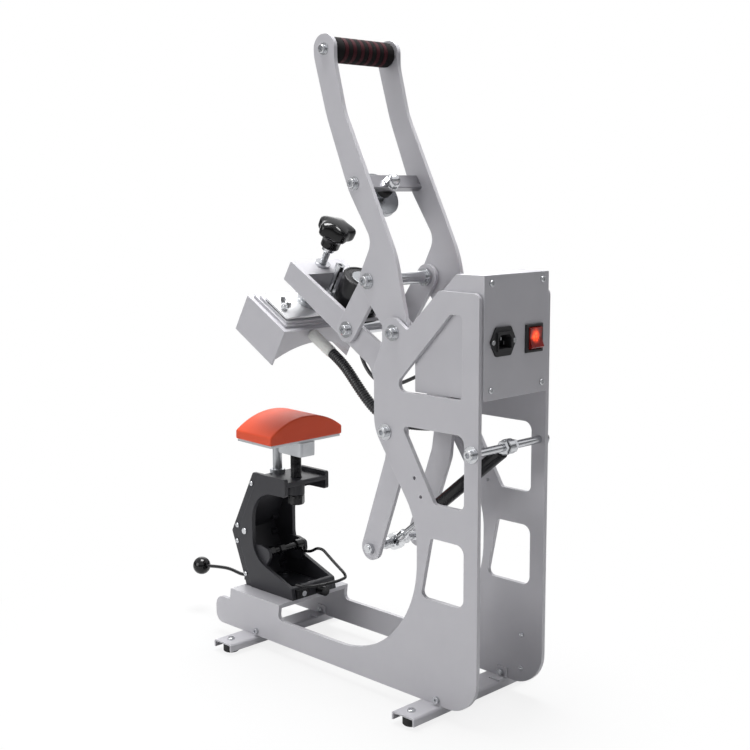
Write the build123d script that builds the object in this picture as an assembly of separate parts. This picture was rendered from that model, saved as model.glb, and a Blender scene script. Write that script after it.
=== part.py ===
"""Cap heat press with an upright handle, a swinging arched heater and a padded lower platen.

Millimetres. +X to the right of the operator's left hand, -Y towards the operator, +Z up.
Inside this file Y is counted from the rear edge of the side plates and Z from FRAME_DROP below
the ground; every piece is moved when it is written, so that the press stands centred on Z = 0.
"""

from build123d import *
import math
import os

os.makedirs("parts", exist_ok=True)

# ---- driving dimensions ---------------------------------------------------------------
FRAME_SHIFT = 308.7          # centres the press on Y
FRAME_DROP = 5.0             # level of the ground
PLATE = 6.0                  # thickness of every cut plate
GAP = 0.8                    # air between two plates that pass each other
SIDE_X = 63.0                # inner face of a side plate
ARM_X = SIDE_X - GAP - PLATE         # inner face of a handle arm
LINK_X = ARM_X - GAP - PLATE         # inner face of a toggle link
LIFT_X = LINK_X - GAP - PLATE        # inner face of a lifting arm
PIN_R = 5.0                  # every pivot pin
RUN_FIT = 0.05               # radial clearance of a turning fit

# pivots, (Y, Z)
HANDLE_PIVOT = (-142.0, 493.5)       # handle arm on side plate
LINK_TOP = (-194.0, 556.0)           # handle arm on toggle link
LINK_LOW = (-241.0, 489.0)           # toggle link on lifting arm
LIFT_PIVOT = (-155.5, 364.5)         # lifting arm on side plate
SPRING_LOW = (-204.0, 196.0)         # gas spring on lifting arm
SPRING_REAR = (-10.0, 355.7)         # gas spring on rear rod
ARM_SLOPE = -30.27                   # degrees, front half of the lifting arm, up at the front

# heater and platen
HEAD_W, HEAD_D, HEAD_H = 146.0, 92.0, 57.0
ARCH_R = 116.7                       # hollow of the heater
ARCH_CROWN = 24.0                    # crown of the hollow below the heater's top
HEAD_A, HEAD_B = 131.5, -61.0        # heater's top centre along and above the lifting arm
PAD_W, PAD_D = 140.0, 79.0
PAD_R = 115.6
PAD_CROWN = (-422.0, 348.6)
PAD_TILT = -1.27                     # degrees, rear edge lower
PAD_H = 36.0

# base
BASE_Z = 21.8                        # underside of the side plates
SHELF_Z = 80.5
FOOT_Z = 19.3                        # underside of the channel's web
BAR_L, BAR_W, BAR_T = 242.0, 38.0, 2.5
BAR_Y = (-438.6, -76.0)
FOOT_X = 105.0

# control box
BOX_X, BOX_LOW, BOX_TOP, BOX_FRONT = 62.4, 421.0, 571.5, -109.5
SWITCH_AT = (-32.6, 490.0)
INLET_AT = (28.0, 491.0)


# ---- helpers --------------------------------------------------------------------------
def outline(corners):
    """A closed face in the YZ plane from (y, z, corner radius) triples."""
    points = [(y, z) for y, z, _ in corners]
    radii = [r for _, _, r in corners]
    return make_face(Plane.YZ * FilletPolyline(*points, radius=radii, close=True))


def slab(face, x_low, x_high):
    """A plate between two X positions."""
    return extrude(Pos(x_low, 0, 0) * face, x_high - x_low, dir=(1, 0, 0))


def pair(shape):
    """The same piece on both sides of the press."""
    return [shape, mirror(shape, Plane.YZ)]


def rod_x(at, radius, x_low, x_high):
    """A round bar along X through (y, z)."""
    middle = Pos((x_low + x_high) / 2, at[0], at[1])
    return middle * Rot(0, 90, 0) * Cylinder(radius, x_high - x_low)


def hex_x(at, across, x_low, x_high):
    """A hexagonal bar along X through (y, z)."""
    face = Plane((x_low, at[0], at[1]), x_dir=(0, 1, 0), z_dir=(1, 0, 0)) * RegularPolygon(across / 2, 6, False)
    return extrude(face, x_high - x_low)


def cap_bolt_x(at, seat, radius=6.5, height=7.0, washer=10.5):
    """A washer and a socket head standing outwards from x = seat."""
    ring = rod_x(at, washer, seat, seat + 1.6)
    head = rod_x(at, radius, seat + 1.6, seat + 1.6 + height)
    head = chamfer(head.edges().filter_by(GeomType.CIRCLE).sort_by(Axis.X)[-1], 0.8)
    return ring + head - hex_x(at, radius, seat + height - 2.4, seat + height + 2)


def box_at(x, y, z):
    """A box from its (low, high) pairs."""
    size = [high - low for low, high in (x, y, z)]
    centre = [(high + low) / 2 for low, high in (x, y, z)]
    return Pos(*centre) * Box(*size)


def on_arm(shape):
    """Places a piece drawn at y = -(distance ahead of the low link pivot), z = above the arm."""
    return Location((0, *LINK_LOW), (ARM_SLOPE, 0, 0)) * shape


def on_head(shape):
    """Places a piece drawn about the heater's top centre."""
    return on_arm(Pos(0, -HEAD_A, HEAD_B) * shape)


def moved_to(y, z, degrees, shape):
    """Places a piece drawn about the origin, turned about X."""
    return Location((0, y, z), (degrees, 0, 0)) * shape


def write(name, *shapes):
    """Writes one node, shifted into the press's own frame."""
    solids = []
    for shape in shapes:
        solids += shape.solids()
    placed = [Pos(0, FRAME_SHIFT, -FRAME_DROP) * solid for solid in solids]
    whole = placed[0] if len(placed) == 1 else Compound(children=placed)
    whole.label = name
    export_step(whole, f"parts/{name}.step")


# ---- side plates ----------------------------------------------------------------------
def side_plate():
    body = outline([
        (-519, 24.5, 14), (-519, 63, 16), (-485.3, 63, 3), (-483, SHELF_Z, 2), (-372, SHELF_Z, 1),
        (-375, 57.3, 8), (-100.5, 56.6, 144), (-100.5, 255.4, 110), (-176, 366.3, 50),
        (-176, 447, 20), (-161, 480, 20), (-161, 512.5, 17), (-137, 512.5, 14), (-117.5, 498.5, 4),
        (-64, 551, 5), (0, 550, 9), (0, BASE_Z, 46), (-505, BASE_Z, 5),
    ])
    box_window = outline([(-46, 523, 4), (-26, 523, 6), (-26, 420, 6), (-145.3, 420, 10)])
    high_window = outline([(-127, 376.5, 5), (-22, 376.5, 12), (-22, 283.5, 9), (-71, 283.5, 6)])
    low_window = outline([(-77, 239, 6), (-22, 239, 12), (-22, 158.5, 12), (-94, 158.5, 8)])
    plate = slab(body - box_window - high_window - low_window, SIDE_X, SIDE_X + PLATE)
    for at in (HANDLE_PIVOT, LIFT_PIVOT, SPRING_REAR):
        plate -= rod_x(at, PIN_R + 0.15, SIDE_X - 1, SIDE_X + PLATE + 1)
    for at in ((-105, 311.8), (-93.8, 289.1)):
        plate -= rod_x(at, 2.5, SIDE_X - 1, SIDE_X + PLATE + 1)
    for y in (-423.5, -65.0):
        plate -= rod_x((y, 29), 2.6, SIDE_X - 1, SIDE_X + PLATE + 1)
    return plate


near, far = pair(side_plate())
write("side_plate_near", near)
write("side_plate_far", far)
write("shelf_plate", box_at((-62.95, 62.95), (-482.5, -372.5), (SHELF_Z - 6, SHELF_Z)))


# ---- feet -----------------------------------------------------------------------------
def foot_bar(y):
    """A channel open below, with a screw hole at each rubber foot."""
    section = Pos(0, y, 0) * box_at((-BAR_L / 2, BAR_L / 2), (-BAR_W / 2, BAR_W / 2), (10.8, BASE_Z))
    section = fillet(section.edges().filter_by(Axis.X).sort_by(Axis.Z)[-2:], 3.6)
    inner = box_at((-BAR_L, BAR_L), (-BAR_W / 2 + BAR_T, BAR_W / 2 - BAR_T), (0, FOOT_Z))
    inner = fillet(inner.edges().filter_by(Axis.X).sort_by(Axis.Z)[-2:], 1.2)
    bar = section - Pos(0, y, 0) * inner
    for x in (-FOOT_X, FOOT_X):
        bar -= Pos(x, y, 20) * Cylinder(3.2, 12)
    return bar


def rubber_foot(x, y):
    foot = Pos(x, y, (FRAME_DROP + FOOT_Z) / 2) * Cylinder(11.5, FOOT_Z - FRAME_DROP)
    foot = chamfer(foot.edges().sort_by(Axis.Z)[0], 1.2)
    return foot - Pos(x, y, FOOT_Z) * Cylinder(3.1, 16)


def foot_screw(x, y):
    """A pan head on the channel, with its shank down into the rubber foot."""
    head = Pos(x, y, BASE_Z + 1.6) * Cylinder(5.5, 3.2)
    head = fillet(head.edges().sort_by(Axis.Z)[-1], 2.0)
    return head + Pos(x, y, BASE_Z - 4.5) * Cylinder(3.0, 9) - Pos(x, y, BASE_Z + 3) * Box(8, 1.2, 2)


def bar_clip(y):
    """An angle that ties a side plate to the channel under it."""
    clip = box_at((SIDE_X - 18, SIDE_X), (y - 9, y + 9), (BASE_Z, BASE_Z + 2.5))
    clip += box_at((SIDE_X - 2.5, SIDE_X), (y - 9, y + 9), (BASE_Z, BASE_Z + 15))
    return clip - rod_x((y, 29), 2.6, SIDE_X - 4, SIDE_X + 1)


def clip_bolt(y):
    """The screw through a side plate and its clip, with a nut inside."""
    bolt = rod_x((y, 29), 2.5, SIDE_X - 8, SIDE_X + PLATE + 1)
    bolt += rod_x((y, 29), 4.4, SIDE_X + PLATE, SIDE_X + PLATE + 4)
    bolt += hex_x((y, 29), 8, SIDE_X - 6.5, SIDE_X - 2.5)
    return bolt - hex_x((y, 29), 4, SIDE_X + PLATE + 1.8, SIDE_X + PLATE + 5)


def plate_screw(y, z):
    """A small slotted head on the far side plate's inner face."""
    head = rod_x((y, z), 3.4, -SIDE_X, -SIDE_X + 2.2)
    head = fillet(head.edges().filter_by(GeomType.CIRCLE).sort_by(Axis.X)[-1], 1.2)
    return head - box_at((-SIDE_X + 1.3, -SIDE_X + 3), (y - 4, y + 4), (z - 0.5, z + 0.5))


FEET = [(x, y) for y in BAR_Y for x in (-FOOT_X, FOOT_X)]
CLIP_Y = (-423.5, -65.0)
write("foot_bars", *[foot_bar(y) for y in BAR_Y], *[side for y in CLIP_Y for side in pair(bar_clip(y))])
write("rubber_feet", *[rubber_foot(x, y) for x, y in FEET])
foot_fasteners = [foot_screw(x, y) for x, y in FEET] + [side for y in CLIP_Y for side in pair(clip_bolt(y))]
foot_fasteners += [plate_screw(-33, 89), plate_screw(-33.5, 42.5)]


# ---- pins fixed in the side plates -----------------------------------------------------
def handle_pin():
    """The handle's stub pin: head outside the side plate, locknut inside the handle arm."""
    pin = rod_x(HANDLE_PIVOT, PIN_R, ARM_X - 6.6, SIDE_X + PLATE + 2)
    pin += cap_bolt_x(HANDLE_PIVOT, SIDE_X + PLATE)
    return pin + hex_x(HANDLE_PIVOT, 15, ARM_X - 5.6, ARM_X - 0.5)


def lift_pin():
    """The lifting arm's pin, with a spacer tube between side plate and arm."""
    pin = rod_x(LIFT_PIVOT, PIN_R, LIFT_X - 7, SIDE_X + PLATE + 2)
    pin += cap_bolt_x(LIFT_PIVOT, SIDE_X + PLATE)
    pin += rod_x(LIFT_PIVOT, 9, LIFT_X + PLATE + 0.4, SIDE_X)
    return pin + hex_x(LIFT_PIVOT, 15, LIFT_X - 6, LIFT_X - 0.4)


rear_rod = rod_x(SPRING_REAR, PIN_R, -SIDE_X - PLATE - 2, SIDE_X + PLATE + 2)
for head in pair(cap_bolt_x(SPRING_REAR, SIDE_X + PLATE)):
    rear_rod += head
for x in (-12, 7):
    rear_rod += hex_x(SPRING_REAR, 15, x, x + 5)
write("frame_pins", rear_rod, *pair(handle_pin()), *pair(lift_pin()))


# ---- handle ---------------------------------------------------------------------------
GRIP_AT = (-271.5, 853.6)
GRIP_R = 16.75
BAR_AT = (-217.4, 680.8)             # crossbar
BAR_TURN = 32.34                     # degrees, the crossbar's face looks up and back


def handle_arm():
    face = outline([
        (-291.5, 873, 18), (-291.5, 846, 60), (-268, 768, 250), (-228, 672, 120), (-185.5, 607, 24),
        (-212.8, 554.5, 16), (-143.3, 470.9, 15.5), (-119.1, 483.2, 15.5), (-144, 589, 150),
        (-236, 773, 120), (-253, 838, 60), (-253, 873, 18),
    ])
    arm = slab(face, ARM_X, ARM_X + PLATE)
    arm -= rod_x(HANDLE_PIVOT, PIN_R + RUN_FIT, ARM_X - 1, ARM_X + PLATE + 1)
    for at in (LINK_TOP, BAR_AT, GRIP_AT):
        arm -= rod_x(at, PIN_R + 0.15, ARM_X - 1, ARM_X + PLATE + 1)
    return arm


def grip_foam():
    """Foam sleeve with six shallow grooves for the coloured bands."""
    foam = rod_x(GRIP_AT, GRIP_R, -ARM_X + 1.5, ARM_X - 1.5)
    foam = fillet(foam.edges().filter_by(GeomType.CIRCLE), 3)
    foam -= rod_x(GRIP_AT, PIN_R + 0.2, -ARM_X, ARM_X)
    for x in BAND_X:
        ring = rod_x(GRIP_AT, GRIP_R + 1, x - 3.2, x + 3.2) - rod_x(GRIP_AT, GRIP_R - 1.2, x - 4, x + 4)
        foam -= ring
    return foam


def grip_band(x):
    band = rod_x(GRIP_AT, GRIP_R - 0.1, x - 3.1, x + 3.1)
    return band - rod_x(GRIP_AT, GRIP_R - 1.15, x - 4, x + 4)


BAND_X = [14.4 * (k - 2.5) for k in range(6)]
write("handle_arms", *pair(handle_arm()))
write("grip_foam", grip_foam())
write("grip_bands", *[grip_band(x) for x in BAND_X])
grip_rod = rod_x(GRIP_AT, PIN_R, -ARM_X - PLATE - 2, ARM_X + PLATE + 2)
for head in pair(cap_bolt_x(GRIP_AT, ARM_X + PLATE, 5.5, 5, 8)):
    grip_rod += head

# the crossbar is drawn flat: z out of its rear face, y up its long side
crossbar = box_at((-ARM_X, ARM_X), (-9.7, 9.7), (-5.5, 5.5))
crossbar = fillet(crossbar.edges().filter_by(Axis.X), 1)
crossbar -= Pos(0, 3, 0) * Cylinder(5.2, 20)
for x in (-ARM_X, ARM_X):
    crossbar -= Pos(x, 0, 0) * Rot(0, 90, 0) * Cylinder(PIN_R + 0.1, 30)


def on_bar(shape):
    """Places a piece drawn on the crossbar."""
    return Location((0, *BAR_AT), (BAR_TURN - 90, 0, 0)) * shape


write("crossbar", on_bar(crossbar))
bar_bolts = []
for side in pair(cap_bolt_x(BAR_AT, ARM_X + PLATE, 6, 6, 9) + rod_x(BAR_AT, PIN_R, ARM_X - 14, ARM_X + PLATE + 2)):
    bar_bolts.append(side)

# link pin of the handle: through both arms and links, with a tube and two collars between
top_pin = rod_x(LINK_TOP, PIN_R, -ARM_X - PLATE - 2, ARM_X + PLATE + 2)
top_pin += rod_x(LINK_TOP, 8.5, -LINK_X + 0.4, LINK_X - 0.4)
for side in pair(rod_x(LINK_TOP, 12, LINK_X - 5.4, LINK_X - 0.4) + cap_bolt_x(LINK_TOP, ARM_X + PLATE)):
    top_pin += side
write("link_top_pin", top_pin)

# armature bolt with a ball end, rubber cushion, and the steel disc that the magnet holds
ARMATURE_Y = 3.0
DISC_R, DISC_T = 31.5, 10.0
DISC_FACE = -29.0                    # below the crossbar's middle
armature_bolt = extrude(Pos(0, ARMATURE_Y, 5.5) * RegularPolygon(8.6, 6, False), 7.5)
armature_bolt += Pos(0, ARMATURE_Y, 2.5) * Cylinder(5, 17)
armature_bolt += Pos(0, ARMATURE_Y, 6.2) * Cylinder(11, 1.4) + Pos(0, ARMATURE_Y, 12) * Sphere(8.2)
armature_bolt += Pos(0, ARMATURE_Y, -10.5) * Cylinder(2.2, 10) + Pos(0, ARMATURE_Y, -18) * Sphere(4)
write("handle_rods", grip_rod, on_bar(armature_bolt), *bar_bolts)
cushion = Pos(0, ARMATURE_Y, -9.9) * Cylinder(11, 8.4) - Pos(0, ARMATURE_Y, -6) * Cylinder(5.2, 6)
cushion -= Pos(0, ARMATURE_Y, -10) * Cylinder(2.4, 12)
write("armature_cushion", on_bar(cushion))
disc = Pos(0, ARMATURE_Y, DISC_FACE + DISC_T / 2) * Cylinder(DISC_R, DISC_T)
disc = chamfer(disc.edges(), 0.8)
disc += Pos(0, ARMATURE_Y, DISC_FACE + DISC_T + 1.6) * Cylinder(8, 3.2)
disc -= Pos(0, ARMATURE_Y, -18) * Sphere(4 + RUN_FIT)
write("armature_disc", on_bar(disc))


# ---- toggle links ---------------------------------------------------------------------
def toggle_link():
    length = math.dist(LINK_LOW, LINK_TOP)
    slope = math.degrees(math.atan2(LINK_TOP[1] - LINK_LOW[1], LINK_TOP[0] - LINK_LOW[0]))
    middle = [(a + b) / 2 for a, b in zip(LINK_LOW, LINK_TOP)]
    face = Plane.YZ * Pos(*middle) * Rot(0, 0, slope) * SlotCenterToCenter(length, 34)
    link = slab(face, LINK_X, LINK_X + PLATE)
    link -= rod_x(LINK_TOP, PIN_R + RUN_FIT, LINK_X - 1, LINK_X + PLATE + 1)
    return link - rod_x(LINK_LOW, PIN_R + 0.15, LINK_X - 1, LINK_X + PLATE + 1)


link_bolt = rod_x(LINK_LOW, PIN_R, LINK_X + 0.1, LINK_X + PLATE + 2)
link_bolt += cap_bolt_x(LINK_LOW, LINK_X + PLATE, 6.5, 6.5, 11)
write("toggle_links", *pair(toggle_link()))
write("link_low_bolts", *pair(link_bolt))


# ---- lifting arm ----------------------------------------------------------------------
def lifting_arm():
    face = outline([
        (-358.6, 575.1, 1.5), (-374, 549.7, 1.5), (-203.8, 443.3, 22), (-170.8, 359.6, 30),
        (-176.2, 323.4, 40), (-225.1, 186.1, 16.3), (-194.1, 174.9, 16.3), (-143.3, 314.7, 40),
        (-138.5, 365.2, 30), (-180.3, 471, 32),
    ])
    arm = slab(face, LIFT_X, LIFT_X + PLATE)
    arm -= rod_x(LIFT_PIVOT, PIN_R + RUN_FIT, LIFT_X - 1, LIFT_X + PLATE + 1)
    arm -= rod_x(LINK_LOW, PIN_R + 0.15, LIFT_X - 1, LIFT_X + PLATE + 1)
    return arm - rod_x(SPRING_LOW, 4.15, LIFT_X - 1, LIFT_X + PLATE + 1)


write("lifting_arms", *pair(lifting_arm()))
low_tube = rod_x(LINK_LOW, 8, -LIFT_X, LIFT_X) + rod_x(LINK_LOW, PIN_R, -LIFT_X - PLATE, LIFT_X + PLATE)

spring_bar = rod_x(SPRING_LOW, 4, -LIFT_X - PLATE - 7, LIFT_X + PLATE + 7)
for x in (LIFT_X - 6, LIFT_X + PLATE, 11, 17):
    for side in pair(hex_x(SPRING_LOW, 13, x, x + 5.8)):
        spring_bar += side

# bridge: a channel between the front ends of the lifting arms, open below
SCREW_A = HEAD_A
bridge = box_at((-LIFT_X, LIFT_X), (-145, -111), (-12, 15))
bridge -= box_at((-LIFT_X - 1, LIFT_X + 1), (-142, -114), (-13, 12))
bridge -= Pos(0, -SCREW_A, 14) * Cylinder(7.1, 8)
write("bridge", on_arm(bridge))
bush = Pos(0, -SCREW_A, 3) * Cylinder(7, 24) + Pos(0, -SCREW_A, 17) * Cylinder(11, 4)
bush += extrude(Pos(0, -SCREW_A, 4) * RegularPolygon(8.8, 6, False), 8)
bush -= Pos(0, -SCREW_A, 5) * Cylinder(5.06, 40)
write("screw_bush", on_arm(bush))

# magnet: a painted pot on a cross plate, with a bare steel pole let into it
MAGNET_A, MAGNET_TOP = 48.0, 45.3
bracket = box_at((-LIFT_X, LIFT_X), (-110.9, -12), (-12, -7))
bracket += box_at((-LIFT_X, LIFT_X), (-15, -12), (-12, 4))
bracket -= Pos(0, -MAGNET_A, -9) * Cylinder(4.2, 10)
bracket -= Pos(8, -93, -9) * Cylinder(4.15, 12)
write("magnet_bracket", on_arm(bracket))
pot = Pos(0, -MAGNET_A, (MAGNET_TOP - 7) / 2) * Cylinder(32, MAGNET_TOP + 7)
pot = fillet(pot.edges().filter_by(GeomType.CIRCLE), 1.5)
pot -= Pos(0, -MAGNET_A, MAGNET_TOP) * (Cylinder(28.5, 1.6) - Cylinder(22, 3))
pot -= Pos(0, -MAGNET_A, MAGNET_TOP) * Cylinder(20.05, 30)
write("magnet_pot", on_arm(pot))
pole = Pos(0, -MAGNET_A, MAGNET_TOP - 7.45) * Cylinder(20, 15)
write("magnet_pole", on_arm(chamfer(pole.edges(), 0.6)))
magnet_bolt = Pos(0, -MAGNET_A, -12) * Cylinder(4, 9.9) + extrude(Pos(0, -MAGNET_A, -18) * RegularPolygon(6.5, 6, False), 6)
stop_bolt = Pos(8, -93, 11.5) * Cylinder(4, 41) + extrude(Pos(8, -93, -7) * RegularPolygon(6.5, 6, False), 6)
stop_bolt += Pos(8, -93, 36) * Cylinder(6.5, 8)
stop_bolt -= extrude(Pos(8, -93, 36) * RegularPolygon(3, 6, False), 6)
write("arm_rods", low_tube, spring_bar, on_arm(magnet_bolt), on_arm(stop_bolt))

# ---- heater ---------------------------------------------------------------------------
def arch(radius, depth):
    """The solid cylinder that hollows the heater."""
    return Pos(0, 0, -ARCH_CROWN - ARCH_R) * Rot(90, 0, 0) * Cylinder(radius, depth)


hood = Pos(0, 0, -HEAD_H / 2) * Box(HEAD_W, HEAD_D, HEAD_H)
hood = fillet(hood.edges().filter_by(Axis.Z), 1.2)
hood -= Pos(0, 0, -HEAD_H / 2 - 1.5) * Box(HEAD_W - 3, HEAD_D - 3, HEAD_H)
hollow = arch(ARCH_R, HEAD_D + 10) & box_at((-71, 71), (-60, 60), (-HEAD_H - 1, 0))
hollow += box_at((-71, 71), (-60, 60), (-HEAD_H - 1, -47))
hood -= hollow
hood -= Pos(0, 14, 0) * Cylinder(4.2, 10)
write("heater_hood", on_head(hood))
plate = (arch(ARCH_R + 11, HEAD_D - 4) - arch(ARCH_R, HEAD_D)) & box_at((-71, 71), (-50, 50), (-HEAD_H + 9, 0))
write("heater_platen", on_head(plate))
cover_low = fillet(box_at((-66, 66), (-41, 38), (0, 4)).edges().filter_by(Axis.Z), 3)
cover_high = fillet(box_at((-63, 63), (-33, 35), (4, 7.5)).edges().filter_by(Axis.Z), 3)
write("heater_cover", on_head(cover_low + cover_high))
top = fillet(box_at((-62, 62), (-23, 31), (9.5, 12.5)).edges().filter_by(Axis.Z), 4)
for x in (-52, 52):
    top += Pos(x, 9, 8.5) * Cylinder(6, 2)
    top += Pos(x, 9, 16.5) * Cylinder(3, 9.4)
top += Pos(0, 0, 8.5) * Cylinder(16, 2)
write("heater_top_plate", on_head(top))
spindle = Pos(0, 0, 15.5) * Cylinder(17, 6) + Pos(0, 0, 29) * Cylinder(10, 33)
spindle = fillet(spindle.edges().filter_by(GeomType.CIRCLE).sort_by(Axis.Z)[-1], 1)
spindle -= Pos(0, 0, 34) * Cylinder(5.1, 28)
write("heater_spindle", on_head(spindle))


def wing_nut(x):
    """A nut with two upright wings on its stud."""
    nut = Pos(x, 9, 15.55) * Cylinder(5.5, 6)
    wing = outline([(2, 1, 0.5), (3, 13, 2), (11, 15, 3), (10.5, 8, 2), (5, 1, 1)])
    for turn in (0, 180):
        nut += Pos(x, 9, 12.8) * Rot(0, 0, turn) * slab(wing, -1.2, 1.2)
    return nut - Pos(x, 9, 16) * Cylinder(3.05, 12)


write("wing_nut_near", on_head(wing_nut(52)))
write("wing_nut_far", on_head(wing_nut(-52)))

# pressure screw with its star knob, on the heater's axis
KNOB_LOW = 106.0                     # knob's underside above the heater's top
KNOB_HUB, KNOB_RIM, KNOB_H = 17.0, 33.0, 40.0   # where the lobes begin and end, and its height
LOBES = 5
screw = Pos(0, 0, (21 + KNOB_LOW + 20) / 2) * Cylinder(5, KNOB_LOW + 20 - 21)
screw += Pos(0, 0, KNOB_LOW - 3) * Cylinder(9, 6)
write("pressure_screw", on_head(screw))
on_base = (Align.CENTER, Align.CENTER, Align.MIN)
hub = Cylinder(13, KNOB_RIM, align=on_base)
hub += Pos(0, 0, KNOB_HUB) * Cylinder(22, KNOB_RIM - KNOB_HUB, align=on_base)
for k in range(LOBES):
    hub += Rot(0, 0, 72 * k) * Pos(17.5, 0, KNOB_HUB) * Cylinder(9.5, KNOB_RIM - KNOB_HUB, align=on_base)
hub += Pos(0, 0, KNOB_RIM) * Cone(22, 14, KNOB_H - KNOB_RIM, align=on_base)
hub -= Pos(0, 0, -1) * Cylinder(5.05, 42)
write("star_knob", on_head(Pos(0, 0, KNOB_LOW) * hub))

# sleeve where the heater's leads come out
SLEEVE_L = 50.0
sleeve = Pos(20, HEAD_D / 2 + SLEEVE_L / 2, -7) * Rot(90, 0, 0) * Cylinder(8.6, SLEEVE_L)
sleeve = fillet(sleeve.edges().filter_by(GeomType.CIRCLE), 1.2)
write("lead_sleeve", on_head(sleeve))

# ---- gas spring -----------------------------------------------------------------------
SPRING_TURN = math.degrees(math.atan2(SPRING_LOW[1] - SPRING_REAR[1], SPRING_LOW[0] - SPRING_REAR[0]))
SPRING_L = math.dist(SPRING_LOW, SPRING_REAR)


def on_spring(shape):
    """Places a piece drawn along +Y from the rear rod."""
    return moved_to(*SPRING_REAR, SPRING_TURN, shape)


def along_y(radius, low, high):
    return Pos(0, (low + high) / 2, 0) * Rot(90, 0, 0) * Cylinder(radius, high - low)


cylinder = along_y(9, 12, 164)
cylinder = fillet(cylinder.edges().filter_by(GeomType.CIRCLE), 1.5)
cylinder -= along_y(7, 16, 158)
cylinder -= along_y(4.08, 150, 170)
eye = Rot(0, 90, 0) * Cylinder(9.5, 11) + box_at((-4, 4), (4, 13), (-4, 4))
cylinder += eye
cylinder -= Rot(0, 90, 0) * Cylinder(PIN_R + RUN_FIT, 20)
write("spring_cylinder", on_spring(cylinder))
rod = along_y(4, 150, SPRING_L - 9) + along_y(6.9, 146, 152)
rod += along_y(6.5, SPRING_L - 22, SPRING_L - 9)
rod += Pos(0, SPRING_L, 0) * Rot(0, 90, 0) * Cylinder(11.5, 12)
rod -= Pos(0, SPRING_L, 0) * Rot(0, 90, 0) * Cylinder(6.8, 20)
write("spring_rod", on_spring(rod))

# ---- control box ----------------------------------------------------------------------
def box_profile(inset):
    """The box's side, with its sloping display face, drawn in by a wall."""
    slant = inset * math.tan(math.radians(22.5))
    return outline([
        (0.5, BOX_LOW + inset, 0), (0.5, BOX_TOP - inset, 0), (-42 + slant, BOX_TOP - inset, 0),
        (BOX_FRONT + inset, 504 - slant, 0), (BOX_FRONT + inset, BOX_LOW + inset, 0),
    ])


WALL = 1.6
shell = slab(box_profile(0), -BOX_X, BOX_X)
shell = fillet(shell.edges().filter_by(Axis.X).sort_by(Axis.Y)[:3], 1.5)
shell -= slab(box_profile(WALL), -BOX_X + WALL, BOX_X - WALL)
for side in pair(box_at((44.5, BOX_X - 1), (-9, 0.5), (428, 438)) + box_at((44.5, BOX_X - 1), (-9, 0.5), (557, 567))):
    shell += side
for x in (-49.5, 49.5):
    for z in (433, 562):
        shell -= Pos(x, -3, z) * Rot(90, 0, 0) * Cylinder(2.1, 18)
FACE_TURN = 45.0                     # display face leans back
FACE_AT = (-75.75, 537.75)


def on_face(shape):
    """Places a piece drawn on the sloping display face, z out of the face, y up the slope."""
    return moved_to(*FACE_AT, FACE_TURN, shape)


shell -= on_face(box_at((-24.6, 24.6), (-1.4, 23.4), (-4, 4)))
KEY_X = (-18.0, 0.0, 18.0)
for x in KEY_X:
    shell -= on_face(Pos(x, -14, 0) * Cylinder(4.6, 8))
shell -= Pos(0, -95, BOX_LOW) * Cylinder(7.2, 8)
write("control_box", shell)


def on_panel(x, z, shape):
    """Places a piece drawn on the rear panel, z out of the panel, y up."""
    return Plane((x, 2, z), x_dir=(-1, 0, 0), z_dir=(0, 1, 0)).location * shape


panel = box_at((-BOX_X, BOX_X), (0.5, 2.0), (BOX_LOW, BOX_TOP))
for x in (-49.5, 49.5):
    for z in (433, 562):
        panel -= Pos(x, 1, z) * Rot(90, 0, 0) * Cylinder(2.3, 8)
panel -= on_panel(*SWITCH_AT, Box(28.4, 30.4, 12))
panel -= on_panel(*INLET_AT, Box(28.4, 24.4, 12))
for x in (-20, 20):
    panel -= on_panel(*INLET_AT, Pos(x, 0, 0) * Cylinder(1.8, 12))
write("rear_panel", panel)


def panel_screw(x, z):
    screw = Pos(0, 0, 1.3) * Cylinder(4, 2.6)
    screw = fillet(screw.edges().sort_by(Axis.Z)[-1], 1.4) + Pos(0, 0, -4) * Cylinder(2, 8)
    for turn in (0, 90):
        screw -= Pos(0, 0, 2.4) * Rot(0, 0, turn) * Box(4.4, 0.9, 1.6)
    return on_panel(x, z, screw)


panel_screws = [panel_screw(x, z) for x in (-49.5, 49.5) for z in (433, 562)]

inlet = extrude(Polygon((-24.3, 0), (-14, -17.8), (14, -17.8), (24.3, 0), (14, 17.8), (-14, 17.8)), 2.4)
inlet = fillet(inlet.edges().filter_by(Axis.Z), 3)
inlet += Pos(0, 0, 1.4) * (Box(27, 23, 6.8))
inlet += Pos(0, 0, -13) * Box(28, 24, 26)
socket = Polygon((-12, -8.5), (12, -8.5), (12, 4), (8, 8.5), (-8, 8.5), (-12, 4))
inlet -= Pos(0, 0, -16) * extrude(socket, 30)
for x in (-20, 20):
    inlet -= Pos(x, 0, 0) * Cylinder(1.8, 12)
write("mains_inlet", on_panel(*INLET_AT, inlet))
pins = [Pos(x, y, -9) * Box(2, 4, 14) for x, y in ((-6, -2), (6, -2), (0, 3))]
panel_screws += [on_panel(*INLET_AT, pin) for pin in pins]
inlet_screws = [Pos(x, 0, 3.0) * Cylinder(3, 1.2) + Pos(x, 0, -1) * Cylinder(1.6, 7) for x in (-20, 20)]
panel_screws += [on_panel(*INLET_AT, screw) for screw in inlet_screws]

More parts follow.
